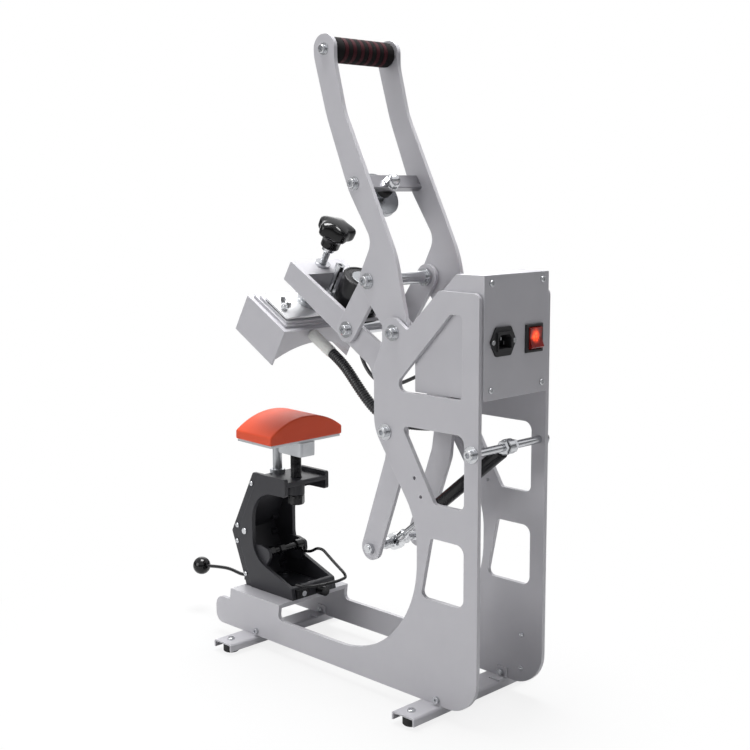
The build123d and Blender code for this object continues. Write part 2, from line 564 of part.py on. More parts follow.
frame = Pos(0, 0, 1.4) * Box(33.7, 35.3, 2.8)
frame = fillet(frame.edges().sort_by(Axis.Z)[-4:], 1.2) + Pos(0, 0, -11) * Box(28, 30, 22)
frame -= Pos(0, 0, -2) * Box(24.2, 29.2, 20)
write("switch_frame", on_panel(*SWITCH_AT, frame))
ROCK = 7.0                           # degrees each way from level
rocker_side = make_face(Plane.YZ * Polyline((-14, -9), (14, -9), (13.4, 8.2), (0, 5.2), (-13.4, 8.2), close=True))
rocker = slab(rocker_side, -11.8, 11.8) & rod_x((0, 0), 14.2, -12, 12)
write("rocker", on_panel(*SWITCH_AT, Pos(0, 0, -1) * Rot(-ROCK, 0, 0) * rocker))

bezel = box_at((-29, 29), (-6, 28), (0, 2)) - box_at((-23, 23), (0, 22), (-1, 3))
bezel = fillet(bezel.edges().filter_by(Axis.Z).sort_by(Axis.X)[:2] + bezel.edges().filter_by(Axis.Z).sort_by(Axis.X)[-2:], 2)
bezel += box_at((-24.4, 24.4), (-1.2, 23.2), (-3, 0)) - box_at((-23, 23), (0, 22), (-4, 3))
write("display_bezel", on_face(bezel))
write("display_window", on_face(box_at((-22.9, 22.9), (0.1, 21.9), (-2.6, 0.8))))
for name, x in zip(("key_down", "key_set", "key_up"), KEY_X):
    key = Pos(x, -14, -1.2) * Cylinder(4.2, 7.2) + Pos(x, -14, -3.8) * Cylinder(5.4, 1.2)
    write(name, on_face(key))
gland = Pos(0, -95, BOX_LOW + 1.2) * Cylinder(7, 8.4)
gland += extrude(Pos(0, -95, BOX_LOW - 3) * RegularPolygon(11, 6, False), 3)
gland += extrude(Pos(0, -95, BOX_LOW + WALL) * RegularPolygon(10, 6, False), 4)
gland -= Pos(0, -95, BOX_LOW) * Cylinder(4.6, 40)
grommet = Pos(-4, BOX_FRONT - 2, 446) * Rot(90, 0, 0) * Cylinder(6, 4)
write("box_glands", gland, fillet(grommet.edges().filter_by(GeomType.CIRCLE).sort_by(Axis.Y)[0], 1))

# ---- leads ----------------------------------------------------------------------------
HOSE_ROUTE = [
    (20, -305.7, 448.1), (20, -289.3, 438.5), (20, -274, 425.7), (19.5, -260.3, 411), (18, -247, 396.2),
    (15.5, -233.1, 381.8), (12, -216.9, 370), (7, -199.5, 363.7), (1, -181.1, 362.1), (-4, -162.6, 362.4),
    (-7, -144.2, 364), (-7.5, -128.4, 367.4), (-6, -114.3, 375.2), (-3.5, -103.4, 387),
    (-1, -96.6, 401.5), (0, -95, 417.2),
]
HOSE_R, HOSE_BORE, RIBS = 7.6, 4.6, 84
CABLE_ROUTE = [
    (0, -264.3, 488.7), (0, -272.5, 474.6), (0, -272, 452), (0, -262, 431.5), (0, -244, 416),
    (0, -220, 409.5), (0, -195, 415), (-1, -170, 426), (-2.5, -142, 439), (-4, BOX_FRONT - 4.1, 446),
]
CABLE_R = 2.6


def soft_path(route):
    """Straight runs joined by arcs, each as large as its two runs allow; prints the radii."""
    points = [Vector(*p) for p in route]
    runs = [b - a for a, b in zip(points, points[1:])]
    radii = []
    for a, b in zip(runs, runs[1:]):
        turn = math.radians(a.get_angle(b))
        radii.append(0.45 * min(a.length, b.length) / math.tan(turn / 2))
    print("radii", [round(r, 1) for r in radii])
    return FilletPolyline(*points, radius=radii)


def tube_along(route, radius, bore=0.0):
    """A round tube along a route, with its volume compared with section times length."""
    path = soft_path(route)
    start = Plane(path @ 0, x_dir=(1, 0, 0), z_dir=path % 0)
    section = Circle(radius) - Circle(bore) if bore else Circle(radius)
    tube = sweep(start * section, path=path)
    want = math.pi * (radius**2 - bore**2) * path.length
    print("length", round(path.length, 1), "volume ratio", round(tube.volume / want, 4))
    return tube


def ribbed_hose(route, radius, bore, ribs):
    """A corrugated hose: each rib is a ruled loft through four circles on a steady X axis."""
    path = soft_path(route)
    length = path.length
    plain = 2 * radius                # straight ends
    pitch = (length - 2 * plain) / ribs

    def ring(distance, r):
        t = min(max(distance / length, 0), 1)
        side = Plane(path @ t, x_dir=(1, 0, 0), z_dir=path % t)
        return side * Circle(r)

    root = radius - 1.5
    sections = [ring(0, root), ring(plain, root)]
    for k in range(ribs):
        low = plain + k * pitch
        sections += [ring(low + pitch * share, r) for share, r in ((0.12, root), (0.3, radius), (0.72, radius), (0.9, root))]
    sections.append(ring(length, root))
    print("hose length", round(length, 1), "pitch", round(pitch, 2))
    outer = loft(sections, ruled=True)
    start = Plane(path @ 0, x_dir=(1, 0, 0), z_dir=path % 0)
    return outer - sweep(start * Circle(bore), path=path)


write("magnet_cable", tube_along(CABLE_ROUTE, CABLE_R))
write("heater_hose", ribbed_hose(HOSE_ROUTE, HOSE_R, HOSE_BORE, RIBS))

# ---- lower platen ---------------------------------------------------------------------
def on_pad(shape):
    """Places a piece drawn about the pad's crown."""
    return moved_to(*PAD_CROWN, PAD_TILT, shape)


pad = Pos(0, 0, -PAD_R) * Rot(90, 0, 0) * Cylinder(PAD_R, PAD_D) & box_at((-PAD_W / 2, PAD_W / 2), (-50, 50), (-PAD_H, 1))
pad = fillet(pad.edges().filter_by(Axis.Z), 2)
write("silicone_pad", on_pad(pad))
tray = fillet(box_at((-68, 68), (-38, 38), (-PAD_H - 3.5, -PAD_H)).edges().filter_by(Axis.Z), 2)
POST_Y, SCREW_Y = -451.0, -409.0
SLAB_TOP = 252.5
block = fillet(box_at((-15, 15), (-10, 42), (-PAD_H - 24, -PAD_H - 3.5)).edges().filter_by(Axis.Z), 5)
block = on_pad(block) - Pos(0, SCREW_Y, 290) * Cylinder(8.6, 20)
write("platen_tray", on_pad(tray), block)

chrome_post = Pos(0, POST_Y, (SLAB_TOP + 308.2) / 2) * Cylinder(7, 308.2 - SLAB_TOP)
chrome_post += Pos(0, POST_Y, SLAB_TOP + 3) * Cylinder(11.5, 6)
write("guide_post", chrome_post)

# threaded post that raises the platen, through the casting's top, with its nut below
lift_screw = Pos(0, SCREW_Y, 255) * Cylinder(8.3, 62)
lift_screw += extrude(Pos(0, SCREW_Y, 212) * RegularPolygon(11, 6, False), 14)
write("lift_screw", lift_screw)

# ---- casting that carries the platen ----------------------------------------------------
CHEEK_X, CHEEK_T = 37.0, 6.0         # inner face and thickness of a cheek
SHAFT_AT = (-437.0, 138.0)           # shaft across the two cheeks
CASTING = [
    (-459, 258.5, 5), (-385, 258.5, 3), (-385, 232, 4), (-461, 231, 46), (-461, 129, 40),
    (-374.5, 97.5, 3), (-371, SHELF_Z, 0), (-479.5, SHELF_Z, 0), (-482.5, 90, 3), (-511, 160, 3),
]

LUG = [(-470, 146, 1), (-446, 147.5, 1), (-429, 144, 6), (-428, 131, 6), (-440, 112, 1), (-470, 112, 1)]


def cheek():
    """One side of the casting: a raised panel short of its front edge, a lug for the cross shaft."""
    side = slab(outline(CASTING), CHEEK_X, CHEEK_X + CHEEK_T - 1.6)
    panel_edge = [(y + 14 if y < -455 and z not in (231, 129) else y, z, r) for y, z, r in CASTING]
    side += slab(outline(panel_edge), CHEEK_X + CHEEK_T - 1.6, CHEEK_X + CHEEK_T)
    lug = slab(outline(LUG), CHEEK_X - 4, CHEEK_X + 1)
    side += lug - rod_x(SHAFT_AT, 5.02, CHEEK_X - 5, CHEEK_X)
    for at in CHEEK_SCREWS:
        side -= rod_x(at, 2.1, CHEEK_X - 1, CHEEK_X + CHEEK_T + 1)
    return side


def cheek_screw(at):
    """A pan-head screw through the cheek into the core."""
    seat = CHEEK_X + CHEEK_T - 1.6
    screw = rod_x(at, 2.0, CHEEK_X - 3.2, seat + 1)
    head = rod_x(at, 3.8, seat, seat + 2.4)
    head = fillet(head.edges().filter_by(GeomType.CIRCLE).sort_by(Axis.X)[-1], 1.3)
    return screw + head - box_at((seat + 1.6, seat + 4), (at[0] - 2.4, at[0] + 2.4), (at[1] - 0.5, at[1] + 0.5))


CHEEK_SCREWS = ((-462, 241), (-497, 170.5), (-498, 146), (-479.5, 98))
write("casting_cheeks", *pair(cheek()))
screws = [side for at in CHEEK_SCREWS for side in pair(cheek_screw(at))]
boss = rod_x((-479, 165), 5, CHEEK_X + CHEEK_T, CHEEK_X + CHEEK_T + 2.2)
screws += pair(fillet(boss.edges().filter_by(GeomType.CIRCLE).sort_by(Axis.X)[-1], 1))

# the core is a wall between the cheeks: table, two-part back, base and a low rear lip
TABLE_LOW, BASE_TOP, LIP_Y = 246.0, 87.0, -379.0
core = slab(outline([(y, z if z < 250 else SLAB_TOP, r) for y, z, r in CASTING]), -CHEEK_X, CHEEK_X)
void = slab(outline([
    (-458, TABLE_LOW, 4), (-503.5, 160, 3), (-475.5, BASE_TOP, 2), (LIP_Y, BASE_TOP, 2), (LIP_Y, TABLE_LOW, 0),
]), -CHEEK_X - 1, CHEEK_X + 1)
for at in CHEEK_SCREWS:
    for side in pair(rod_x(at, 4.6, CHEEK_X - 12, CHEEK_X + 2)):
        void -= side
core -= void
core += Pos(0, SCREW_Y, (TABLE_LOW + 227) / 2 + 1) * Cylinder(12.5, TABLE_LOW - 225)
for at in CHEEK_SCREWS:
    for side in pair(rod_x(at, 2.1, CHEEK_X - 4, CHEEK_X + 1)):
        core -= side
core -= Pos(0, SCREW_Y, 240) * Cylinder(8.5, 50)
BASE_BOLTS = [(x, y) for x in (-18, 18) for y in (-459, -398)]
base_bolts = []
for x, y in BASE_BOLTS:
    core -= Pos(x, y, BASE_TOP - 2) * Cylinder(2.55, 5)
    bolt = extrude(Pos(x, y, BASE_TOP) * RegularPolygon(4.5, 6, False), 4)
    base_bolts.append(bolt + Pos(x, y, BASE_TOP - 1) * Cylinder(2.5, 6))
KNOB_X, KNOB_Z = -6.0, 88.0
core -= Pos(KNOB_X, -370, KNOB_Z) * Rot(90, 0, 0) * Cylinder(2.52, 14)
write("casting_core", core)
cross_shaft = rod_x(SHAFT_AT, 5, -CHEEK_X, CHEEK_X)
collars = [hex_x(SHAFT_AT, 14, x, x + 8) - rod_x(SHAFT_AT, 5.02, x - 1, x + 9) for x in (24, 4)]

# ball lever on its clevis at the casting's front, free to swing up
LEVER_AT = (-491.0, 89.0)
LEVER_X = 24.0
clevis = box_at((LEVER_X - 7, LEVER_X - 3.2), (-497, -480.2), (82, 96))
clevis += box_at((LEVER_X + 3.2, LEVER_X + 7), (-497, -480.2), (82, 96))
clevis -= slab(outline(CASTING), -CHEEK_X, CHEEK_X)
clevis += rod_x(LEVER_AT, 2.5, LEVER_X - 8.5, LEVER_X + 8.5)
LEVER_ROUTE = [(LEVER_X, -494.5, 88.6), (LEVER_X, -512, 85.5), (LEVER_X, -543, 88.5), (LEVER_X, -574, 84.5), (LEVER_X, -600, 80)]
lever = tube_along(LEVER_ROUTE, 2.6)
lever += rod_x(LEVER_AT, 5.2, LEVER_X - 2.9, LEVER_X + 2.9)
lever -= rod_x(LEVER_AT, 2.5 + RUN_FIT, LEVER_X - 4, LEVER_X + 4)
write("ball_lever", lever)
write("lever_ball", Pos(LEVER_X, -613.6, 77.8) * Sphere(14) - Pos(LEVER_X, -600, 80) * Sphere(3.4))

# bent wire bail, clamped to a sleeve that turns on the cross shaft
BAIL_R = 2.2
sleeve = rod_x(SHAFT_AT, 8, -32.6, -21) - rod_x(SHAFT_AT, 5 + RUN_FIT, -40, -20)
BAIL_ROUTE = [
    (-28, -432, 133.5), (-28.5, -424, 129.5), (-29, -411, 131.5), (-30, -397, 139.5), (-32, -387, 139),
    (-34, -366, 124), (-35, -344, 111), (-31, -336, 107), (-14, -334.5, 106),
    (8, -337.5, 105.5), (24, -346, 104), (33, -358, 103.3), (36, -371, 103.6),
]
bail = tube_along(BAIL_ROUTE, BAIL_R)
write("wire_bail", bail + sleeve)

# latch plate and round knob low on the casting's rear
latch = box_at((12, 36), (-376, -368.8), (82, 95)) - slab(outline(CASTING), -CHEEK_X, CHEEK_X)
latch -= Pos(24, -370, 88.5) * Rot(90, 0, 0) * Cylinder(2.6, 12)
latch_screw = Pos(24, -367.6, 88.5) * Rot(90, 0, 0) * Cylinder(4, 2.4)
latch_screw += Pos(24, -370, 88.5) * Rot(90, 0, 0) * Cylinder(2.5, 3.6)
round_knob = Pos(KNOB_X, -360, KNOB_Z) * Rot(90, 0, 0) * Cylinder(7.4, 14)
for k in range(12):
    spin = math.radians(30 * k)
    groove = Pos(KNOB_X + 7.9 * math.cos(spin), -360, KNOB_Z + 7.9 * math.sin(spin))
    round_knob -= groove * Rot(90, 0, 0) * Cylinder(1.0, 20)
round_knob -= Pos(KNOB_X, -364, KNOB_Z) * Rot(90, 0, 0) * Cylinder(2.5 + RUN_FIT, 14)
write("round_knob", round_knob)
knob_stud = Pos(KNOB_X, -366.2, KNOB_Z) * Rot(90, 0, 0) * Cylinder(2.5, 18.4)
knob_stud += Pos(KNOB_X, -368.7, KNOB_Z) * Rot(90, 0, 0) * Cylinder(5, 2.8)
knob_stud -= slab(outline(CASTING), -CHEEK_X, CHEEK_X) - Pos(KNOB_X, -372, KNOB_Z) * Rot(90, 0, 0) * Cylinder(2.5, 14)
write("casting_fittings", cross_shaft, *collars, clevis, latch, knob_stud)
write("frame_hardware", *foot_fasteners, *panel_screws, *screws, *base_bolts, latch_screw)
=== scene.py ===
"""Looks of an upright cap heat press: paint, steel, rubber, cords and the studio around them.

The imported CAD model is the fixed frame. Lengths given in millimetres use the press's own
drawing axes: Y is counted from the rear edge of the side plates and Z from 5 mm below the
ground.
"""

import logging
import math
from dataclasses import dataclass
from enum import Enum
from typing import Any, Callable, Iterable, Sequence

import bmesh
import bpy
from bmesh.types import BMesh
from bpy.types import Material, Mesh, Node, NodeSocket, NodeTree, Object
from mathutils import Matrix, Vector


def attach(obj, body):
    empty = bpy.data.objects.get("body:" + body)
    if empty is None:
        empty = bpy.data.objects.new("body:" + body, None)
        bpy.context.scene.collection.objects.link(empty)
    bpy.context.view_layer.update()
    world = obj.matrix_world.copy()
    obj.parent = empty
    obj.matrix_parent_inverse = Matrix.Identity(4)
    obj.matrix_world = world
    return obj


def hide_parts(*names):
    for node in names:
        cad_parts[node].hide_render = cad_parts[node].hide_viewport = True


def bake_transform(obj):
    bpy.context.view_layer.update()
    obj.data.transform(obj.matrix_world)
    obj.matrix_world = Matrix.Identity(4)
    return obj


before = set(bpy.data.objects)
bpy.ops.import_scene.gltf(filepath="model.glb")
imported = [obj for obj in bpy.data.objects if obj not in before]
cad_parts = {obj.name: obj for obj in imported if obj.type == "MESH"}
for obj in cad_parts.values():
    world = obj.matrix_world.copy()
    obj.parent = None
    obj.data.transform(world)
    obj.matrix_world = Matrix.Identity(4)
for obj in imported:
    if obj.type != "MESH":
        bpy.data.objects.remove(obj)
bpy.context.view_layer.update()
LOG = logging.getLogger("cap_press")

MM = 0.001
FRAME_SHIFT = 308.7  # mm, from the drawing's Y to the frame's Y
FRAME_DROP = 5.0  # mm, from the drawing's Z to the frame's Z
ARM_SLOPE = math.radians(-30.27)
Span = tuple[float, float]
Point = tuple[float, float, float]


# ---- places ----
def place(x: float, y: float, z: float, turn: float = 0.0) -> Matrix:
    """Makes the matrix of a drawing placed on the press.

    Args:
        x: across the press, in mm.
        y: from the rear edge of the side plates, in mm.
        z: from FRAME_DROP below the ground, in mm.
        turn: angle about X, in radians.

    Returns:
        The matrix from a drawing in metres to the row frame.
    """
    spot = Matrix.Translation((x * MM, (y + FRAME_SHIFT) * MM, (z - FRAME_DROP) * MM))
    return spot @ Matrix.Rotation(turn, 4, "X")


def shifted(base: Matrix, x: float, y: float, z: float) -> Matrix:
    """A matrix moved by millimetres along its own axes."""
    return base @ Matrix.Translation((x * MM, y * MM, z * MM))


PRESS = place(0, 0, 0)
ARM = place(0, -241.0, 489.0, ARM_SLOPE)  # y: minus the way ahead, z: above the arm
HEAD = shifted(ARM, 0, -131.5, -61.0)  # heater's top centre
PAD = place(0, -422.0, 348.6, math.radians(-1.27))
FACE = place(0, -75.75, 537.75, math.radians(45))  # display face of the control box
GRIP = place(0, -271.5, 853.6)
SPRING_REAR, SPRING_LOW = (-10.0, 355.7), (-204.0, 196.0)  # ends of the gas spring, y and z
SPRING_DOWN = math.atan2(SPRING_LOW[1] - SPRING_REAR[1], SPRING_LOW[0] - SPRING_REAR[0])
SPRING = place(0, *SPRING_REAR, SPRING_DOWN)  # y: down the gas spring


# ---- nodes and finishes ----
def linear(hex_code: str) -> tuple[float, float, float, float]:
    """Turns an sRGB hex colour into the linear RGBA that shader sockets take.

    Args:
        hex_code: six hex digits after a hash sign.

    Returns:
        Linear red, green, blue and an alpha of 1.
    """
    parts = [int(hex_code[i : i + 2], 16) / 255 for i in (1, 3, 5)]
    flat = [c / 12.92 if c <= 0.04045 else ((c + 0.055) / 1.055) ** 2.4 for c in parts]
    return (*flat, 1.0)


def add_node(
    tree: NodeTree, kind: str, inputs: dict[Any, Any] | None = None, **settings: Any
) -> Node:
    """Adds a node with its settings, values and links.

    Args:
        tree: shader or geometry node tree.
        kind: the node's type name.
        inputs: socket name or index to a value, or to the output socket that feeds it.
        settings: properties of the node.

    Returns:
        The new node.
    """
    node = tree.nodes.new(kind)
    for name, value in settings.items():
        setattr(node, name, value)
    for key, value in (inputs or {}).items():
        if isinstance(value, NodeSocket):
            tree.links.new(value, node.inputs[key])
        else:
            node.inputs[key].default_value = value
    return node


def remap(tree: NodeTree, value: NodeSocket, given: Span, wanted: Span, **settings: Any) -> NodeSocket:
    """Maps one span of values onto another and stops at its ends.

    Args:
        tree: shader node tree.
        value: what is mapped.
        given: the span it comes from.
        wanted: the span it goes to.
        settings: properties of the node.

    Returns:
        The mapped value.
    """
    inputs = {"Value": value, "From Min": given[0], "From Max": given[1],
              "To Min": wanted[0], "To Max": wanted[1]}
    return add_node(tree, "ShaderNodeMapRange", inputs, **settings).outputs["Result"]


def times(tree: NodeTree, first: NodeSocket, second: Any) -> NodeSocket:
    """The product of two values."""
    return add_node(tree, "ShaderNodeMath", {0: first, 1: second}, operation="MULTIPLY").outputs[0]


def noise(tree: NodeTree, spot: NodeSocket, size: float, detail: float, rough: float) -> NodeSocket:
    """Noise whose waves have a real size, in mm."""
    inputs = {"Vector": spot, "Scale": 1 / (size * MM), "Detail": detail, "Roughness": rough}
    return add_node(tree, "ShaderNodeTexNoise", inputs).outputs["Fac"]


def blended(tree: NodeTree, share: NodeSocket, first: Any, second: Any) -> NodeSocket:
    """A colour that goes over into another with a share from 0 to 1."""
    inputs = {0: share, 6: first, 7: second}
    return add_node(tree, "ShaderNodeMix", inputs, data_type="RGBA").outputs[2]


class Grain(Enum):
    """How a finish's fine relief is laid."""

    PEEL = "soft round waves of a sprayed coat"
    CAST = "rough skin of a sand casting under paint"
    BRUSHED = "straight fine lines of rolled or ground metal"
    PORES = "open cells of a foam or a matt rubber"
    SMOOTH = "moulded or polished, next to no relief"


@dataclass(frozen=True)
class Finish:
    """One real surface: its colour, its gloss and the relief that its making leaves."""

    name: str
    slot: str
    colour: str
    second: str  # the colour it drifts towards in patches
    roughness: float
    metallic: float = 0.0
    grain: Grain = Grain.SMOOTH
    grain_mm: float = 1.0  # real size of the relief
    relief_mm: float = 0.02  # real height of the relief
    patch_mm: float = 40.0  # real size of the colour patches
    edge: str = ""  # painted highlight colour on the edges
    edge_mm: float = 0.5  # rounding of the edges
    coat: float = 0.0
    specular: float = 0.5
    sheen: float = 0.0
    glow: str = ""
    glow_strength: float = 0.0
    glow_mm: float = 0.0  # reach of the lamp behind it, none for an even glow
    glow_at: Point = (0.0, 0.0, 0.0)  # the lamp's place, drawing mm
    prism_mm: float = 4.5  # real size of the prisms moulded over the lamp
    axis: Point = (1.0, 1.0, 1.0)  # stretch of brushed grain

    def material(self) -> Material:
        """Builds the material once and returns it afterwards."""
        found = bpy.data.materials.get(self.name)
        return found if found else self._build()

    def _build(self) -> Material:
        """Makes the node tree of the finish."""
        material = bpy.data.materials.new(self.name)
        material.use_nodes = True
        material.diffuse_color = linear(self.colour)
        tree = material.node_tree
        tree.nodes.clear()
        spot = add_node(tree, "ShaderNodeTexCoord").outputs["Object"]
        patches = noise(tree, spot, self.patch_mm, 4.0, 0.6)
        colour = blended(tree, patches, linear(self.colour), linear(self.second))
        relief = self._relief(tree, spot)
        rounding = None
        # Painted highlight: the edge colour lightens the edges.
        if self.edge:
            colour, rounding = self._painted_edge_highlights(tree, colour)
        gloss = (max(self.roughness - 0.04, 0.02), self.roughness + 0.05)
        bump = add_node(
            tree, "ShaderNodeBump",
            {"Height": relief, "Distance": self.relief_mm * MM, "Strength": 1.0},
        )
        if rounding is not None:
            tree.links.new(rounding, bump.inputs["Normal"])
        shader = add_node(
            tree, "ShaderNodeBsdfPrincipled",
            {"Base Color": colour, "Metallic": self.metallic,
             "Roughness": remap(tree, patches, (0.3, 0.7), gloss),
             "Normal": bump.outputs["Normal"], "Coat Weight": self.coat, "Coat Roughness": 0.06,
             "Specular IOR Level": self.specular,
             "Sheen Weight": self.sheen, "Sheen Roughness": 0.5},
        )
        if self.glow:
            shader.inputs["Emission Color"].default_value = linear(self.glow)
            shader.inputs["Emission Strength"].default_value = self.glow_strength
        if self.glow_mm:
            tree.links.new(self._lamp_behind(tree, spot), shader.inputs["Emission Strength"])
        add_node(tree, "ShaderNodeOutputMaterial", {"Surface": shader.outputs["BSDF"]})
        return material

    def _lamp_behind(self, tree: NodeTree, spot: NodeSocket) -> NodeSocket:
        """Strength of the glow: most in front of the lamp, broken up by the moulded prisms.

        Args:
            tree: the material's node tree.
            spot: object coordinates, in metres.

        Returns:
            An emission strength.
        """
        lamp = PRESS @ Vector([c * MM for c in self.glow_at])
        away = add_node(tree, "ShaderNodeVectorMath", {0: spot, 1: lamp}, operation="DISTANCE")
        near = remap(
            tree, away.outputs["Value"], (0.0, self.glow_mm * MM), (self.glow_strength, 0.02),
            interpolation_type="SMOOTHERSTEP",
        )
        prisms = self._cells(tree, spot, self.prism_mm)
        return times(tree, near, remap(tree, prisms, (0.1, 0.7), (1.15, 0.45)))

    @staticmethod
    def _cells(tree: NodeTree, spot: NodeSocket, size: float) -> NodeSocket:
        """The distance from the middles of round cells of a real size, in mm."""
        inputs = {"Vector": spot, "Scale": 1 / (size * MM)}
        return add_node(tree, "ShaderNodeTexVoronoi", inputs).outputs["Distance"]

    def _relief(self, tree: NodeTree, spot: NodeSocket) -> NodeSocket:
        """The height pattern of the finish.

        Args:
            tree: the material's node tree.
            spot: object coordinates, in metres.

        Returns:
            A height from 0 to 1.
        """
        if self.grain is Grain.BRUSHED:
            stretched = add_node(tree, "ShaderNodeMapping", {"Vector": spot, "Scale": self.axis})
            return noise(tree, stretched.outputs["Vector"], self.grain_mm, 3.0, 0.7)
        if self.grain is Grain.PORES:
            return self._cells(tree, spot, self.grain_mm)
        detail = {Grain.PEEL: 1.0, Grain.CAST: 6.0}.get(self.grain, 2.0)
        return noise(tree, spot, self.grain_mm, detail, 0.55)

    def _painted_edge_highlights(self, tree: NodeTree, colour: NodeSocket) -> tuple[NodeSocket, NodeSocket]:
        """Rounds the edges for the light and paints a highlight colour on them.

        Args:
            tree: the material's node tree.
            colour: the colour away from edges.

        Returns:
            The colour with its painted edge highlights, and the rounded normal.
        """
        rounding = add_node(tree, "ShaderNodeBevel", {"Radius": self.edge_mm * MM}, samples=6)
        true_normal = add_node(tree, "ShaderNodeNewGeometry").outputs["Normal"]
        along = add_node(
            tree, "ShaderNodeVectorMath",
            {0: rounding.outputs["Normal"], 1: true_normal}, operation="DOT_PRODUCT",
        )
        # Painted highlight: the further the rounded normal turns from the true one, the more edge
        # colour.
        highlight_share = remap(tree, along.outputs["Value"], (0.995, 0.90), (0.0, 0.8))
        return blended(tree, highlight_share, colour, linear(self.edge)), rounding.outputs["Normal"]


# The edge colour of each finish below is a painted highlight on its edges.
# Powder coat, baked on cut sheet steel: satin, faintly pebbled, with a painted highlight on the edges.
FRAME_PAINT = Finish(
    "powder_coat_light_grey", "frame_paint", "#B2B1B6", "#BAB9BD", 0.34, grain=Grain.PEEL,
    grain_mm=1.6, edge="#E4E4E7", edge_mm=0.6,
)
# Zinc-plated steel: bright, slightly milky.
ZINC = Finish(
    "zinc_plated_steel", "zinc_steel", "#CFD0D2", "#C0C2C5", 0.20, 1.0, grain=Grain.PEEL,
    grain_mm=2.5, relief_mm=0.004, patch_mm=14, edge="#F0F1F2", edge_mm=0.3,
)
# Hard chrome: a clear mirror with faint wiping marks.
CHROME = Finish(
    "hard_chrome", "chrome_steel", "#DDDEE0", "#CFD1D3", 0.10, 1.0, grain_mm=8, relief_mm=0.004,
    patch_mm=20, edge="#F2F2F4", edge_mm=0.3,
)
# Turned steel: fine rings and a duller sheen.
TURNED = Finish(
    "turned_steel", "cut_steel", "#B4B6B9", "#9EA1A4", 0.30, 1.0, grain=Grain.BRUSHED,
    grain_mm=0.5, relief_mm=0.006, patch_mm=8, edge="#D8DADC", edge_mm=0.3, axis=(0.2, 1.0, 1.0),
)
# Bar steel, drawn and lightly oiled: darker, streaked along its length.
DRAWN = Finish(
    "drawn_bar_steel", "cut_steel", "#8E8D91", "#A09FA3", 0.30, 0.9, grain=Grain.BRUSHED,
    grain_mm=1.2, relief_mm=0.01, patch_mm=22, edge="#C9C9CC", edge_mm=0.6, axis=(0.05, 1.0, 1.0),
)
# Bright rolled sheet steel, lightly brushed along its length.
ROLLED = Finish(
    "bright_rolled_steel", "mirror_steel", "#F0F0F1", "#E6E7E8", 0.34, 0.7, grain=Grain.BRUSHED,
    grain_mm=0.6, relief_mm=0.003, patch_mm=24, edge="#F4F4F5", edge_mm=0.4,
    axis=(0.05, 1.0, 1.0),
)
# Machined aluminium: pale, faint cutter lines.
ALUMINIUM = Finish(
    "machined_aluminium", "aluminium_plate", "#C4C6C9", "#B5B8BB", 0.34, 1.0, grain=Grain.BRUSHED,
    grain_mm=0.8, relief_mm=0.01, patch_mm=18, edge="#E2E3E5", edge_mm=0.4, axis=(0.06, 1.0, 1.0),
)
CAST_BLACK = Finish(
    "satin_black_cast_paint", "black_cast", "#2C2C30", "#333337", 0.42, grain=Grain.CAST,
    grain_mm=2.2, relief_mm=0.07, specular=0.35, edge="#46464B", edge_mm=0.9,
)
GLOSS_BLACK = Finish(
    "gloss_black_paint", "black_paint", "#0E0E10", "#151517", 0.24, grain=Grain.PEEL,
    grain_mm=1.2, relief_mm=0.012, coat=0.1, specular=0.3, edge="#2E2E32", edge_mm=0.4,
)
PHENOLIC = Finish(
    "polished_black_phenolic", "black_plastic", "#050506", "#080809", 0.13, grain_mm=6,
    relief_mm=0.006, specular=0.35,
)
ABS_BLACK = Finish(
    "textured_black_abs", "matte_black", "#1A1A1C", "#202022", 0.55, grain=Grain.CAST,
    grain_mm=0.7, edge="#3B3B3E", edge_mm=0.3,
)
# Vulcanised rubber: matt with a dusty bloom.
RUBBER = Finish(
    "vulcanised_black_rubber", "black_rubber", "#1B1B1B", "#262626", 0.72, grain=Grain.CAST,
    relief_mm=0.03, patch_mm=9, edge="#343434", edge_mm=0.6,
)
# Closed-cell nitrile foam: matt, soft, pitted with fine cells.
FOAM = Finish(
    "nitrile_foam", "black_foam", "#0A0809", "#100D0E", 0.88, grain=Grain.PORES, grain_mm=0.9,
    relief_mm=0.10, patch_mm=7, specular=0.2,
)
RED_BAND = Finish(
    "dark_red_rubber", "red_band", "#3C0813", "#2A060E", 0.66, grain=Grain.CAST, grain_mm=0.6,
    relief_mm=0.03, patch_mm=6, specular=0.2,
)
# Silicone rubber: orange-red, matt, faintly waxy.
SILICONE = Finish(
    "moulded_red_silicone", "red_silicone", "#D04725", "#D44E2C", 0.50, grain=Grain.CAST,
    grain_mm=1.4, patch_mm=30, specular=0.35,
)
# Lit polycarbonate rocker: a small lamp behind clear red plastic moulded in prisms.
ROCKER_RED = Finish(
    "lit_red_polycarbonate", "red_rocker", "#8E1610", "#6E100C", 0.16, grain=Grain.CAST,
    grain_mm=5, relief_mm=0.25, patch_mm=6, coat=0.4, glow="#FF4A1E", glow_strength=2.8,
    glow_mm=12.0, glow_at=(-31.0, 7.0, 493.5),
)
ACRYLIC = Finish(
    "dark_red_acrylic", "display_glass", "#1C0808", "#160606", 0.06, grain_mm=9, relief_mm=0.002,
    coat=0.5,
)
# Lit segments of the display.
LED_RED = Finish(
    "lit_segment_red", "display_glass", "#FF3A20", "#FF2A14", 0.4, glow="#FF2A12",
    glow_strength=2.2,
)
KEY_GREY = Finish(
    "grey_abs_key", "key_grey", "#3C3D40", "#434447", 0.5, grain=Grain.CAST, grain_mm=0.6,
    edge="#66676A", edge_mm=0.3,
)
PRINT_WHITE = Finish("white_pad_print", "key_grey", "#E9E9E6", "#DEDEDB", 0.6)
# Braided glass-fibre sleeve, grey-white and slightly shiny.
GLASS_BRAID = Finish(
    "braided_glass_sleeve", "sleeve_white", "#D4D4D1", "#BFC0BC", 0.42, grain=Grain.PORES,
    grain_mm=1.1, relief_mm=0.08, patch_mm=5, sheen=0.1,
)
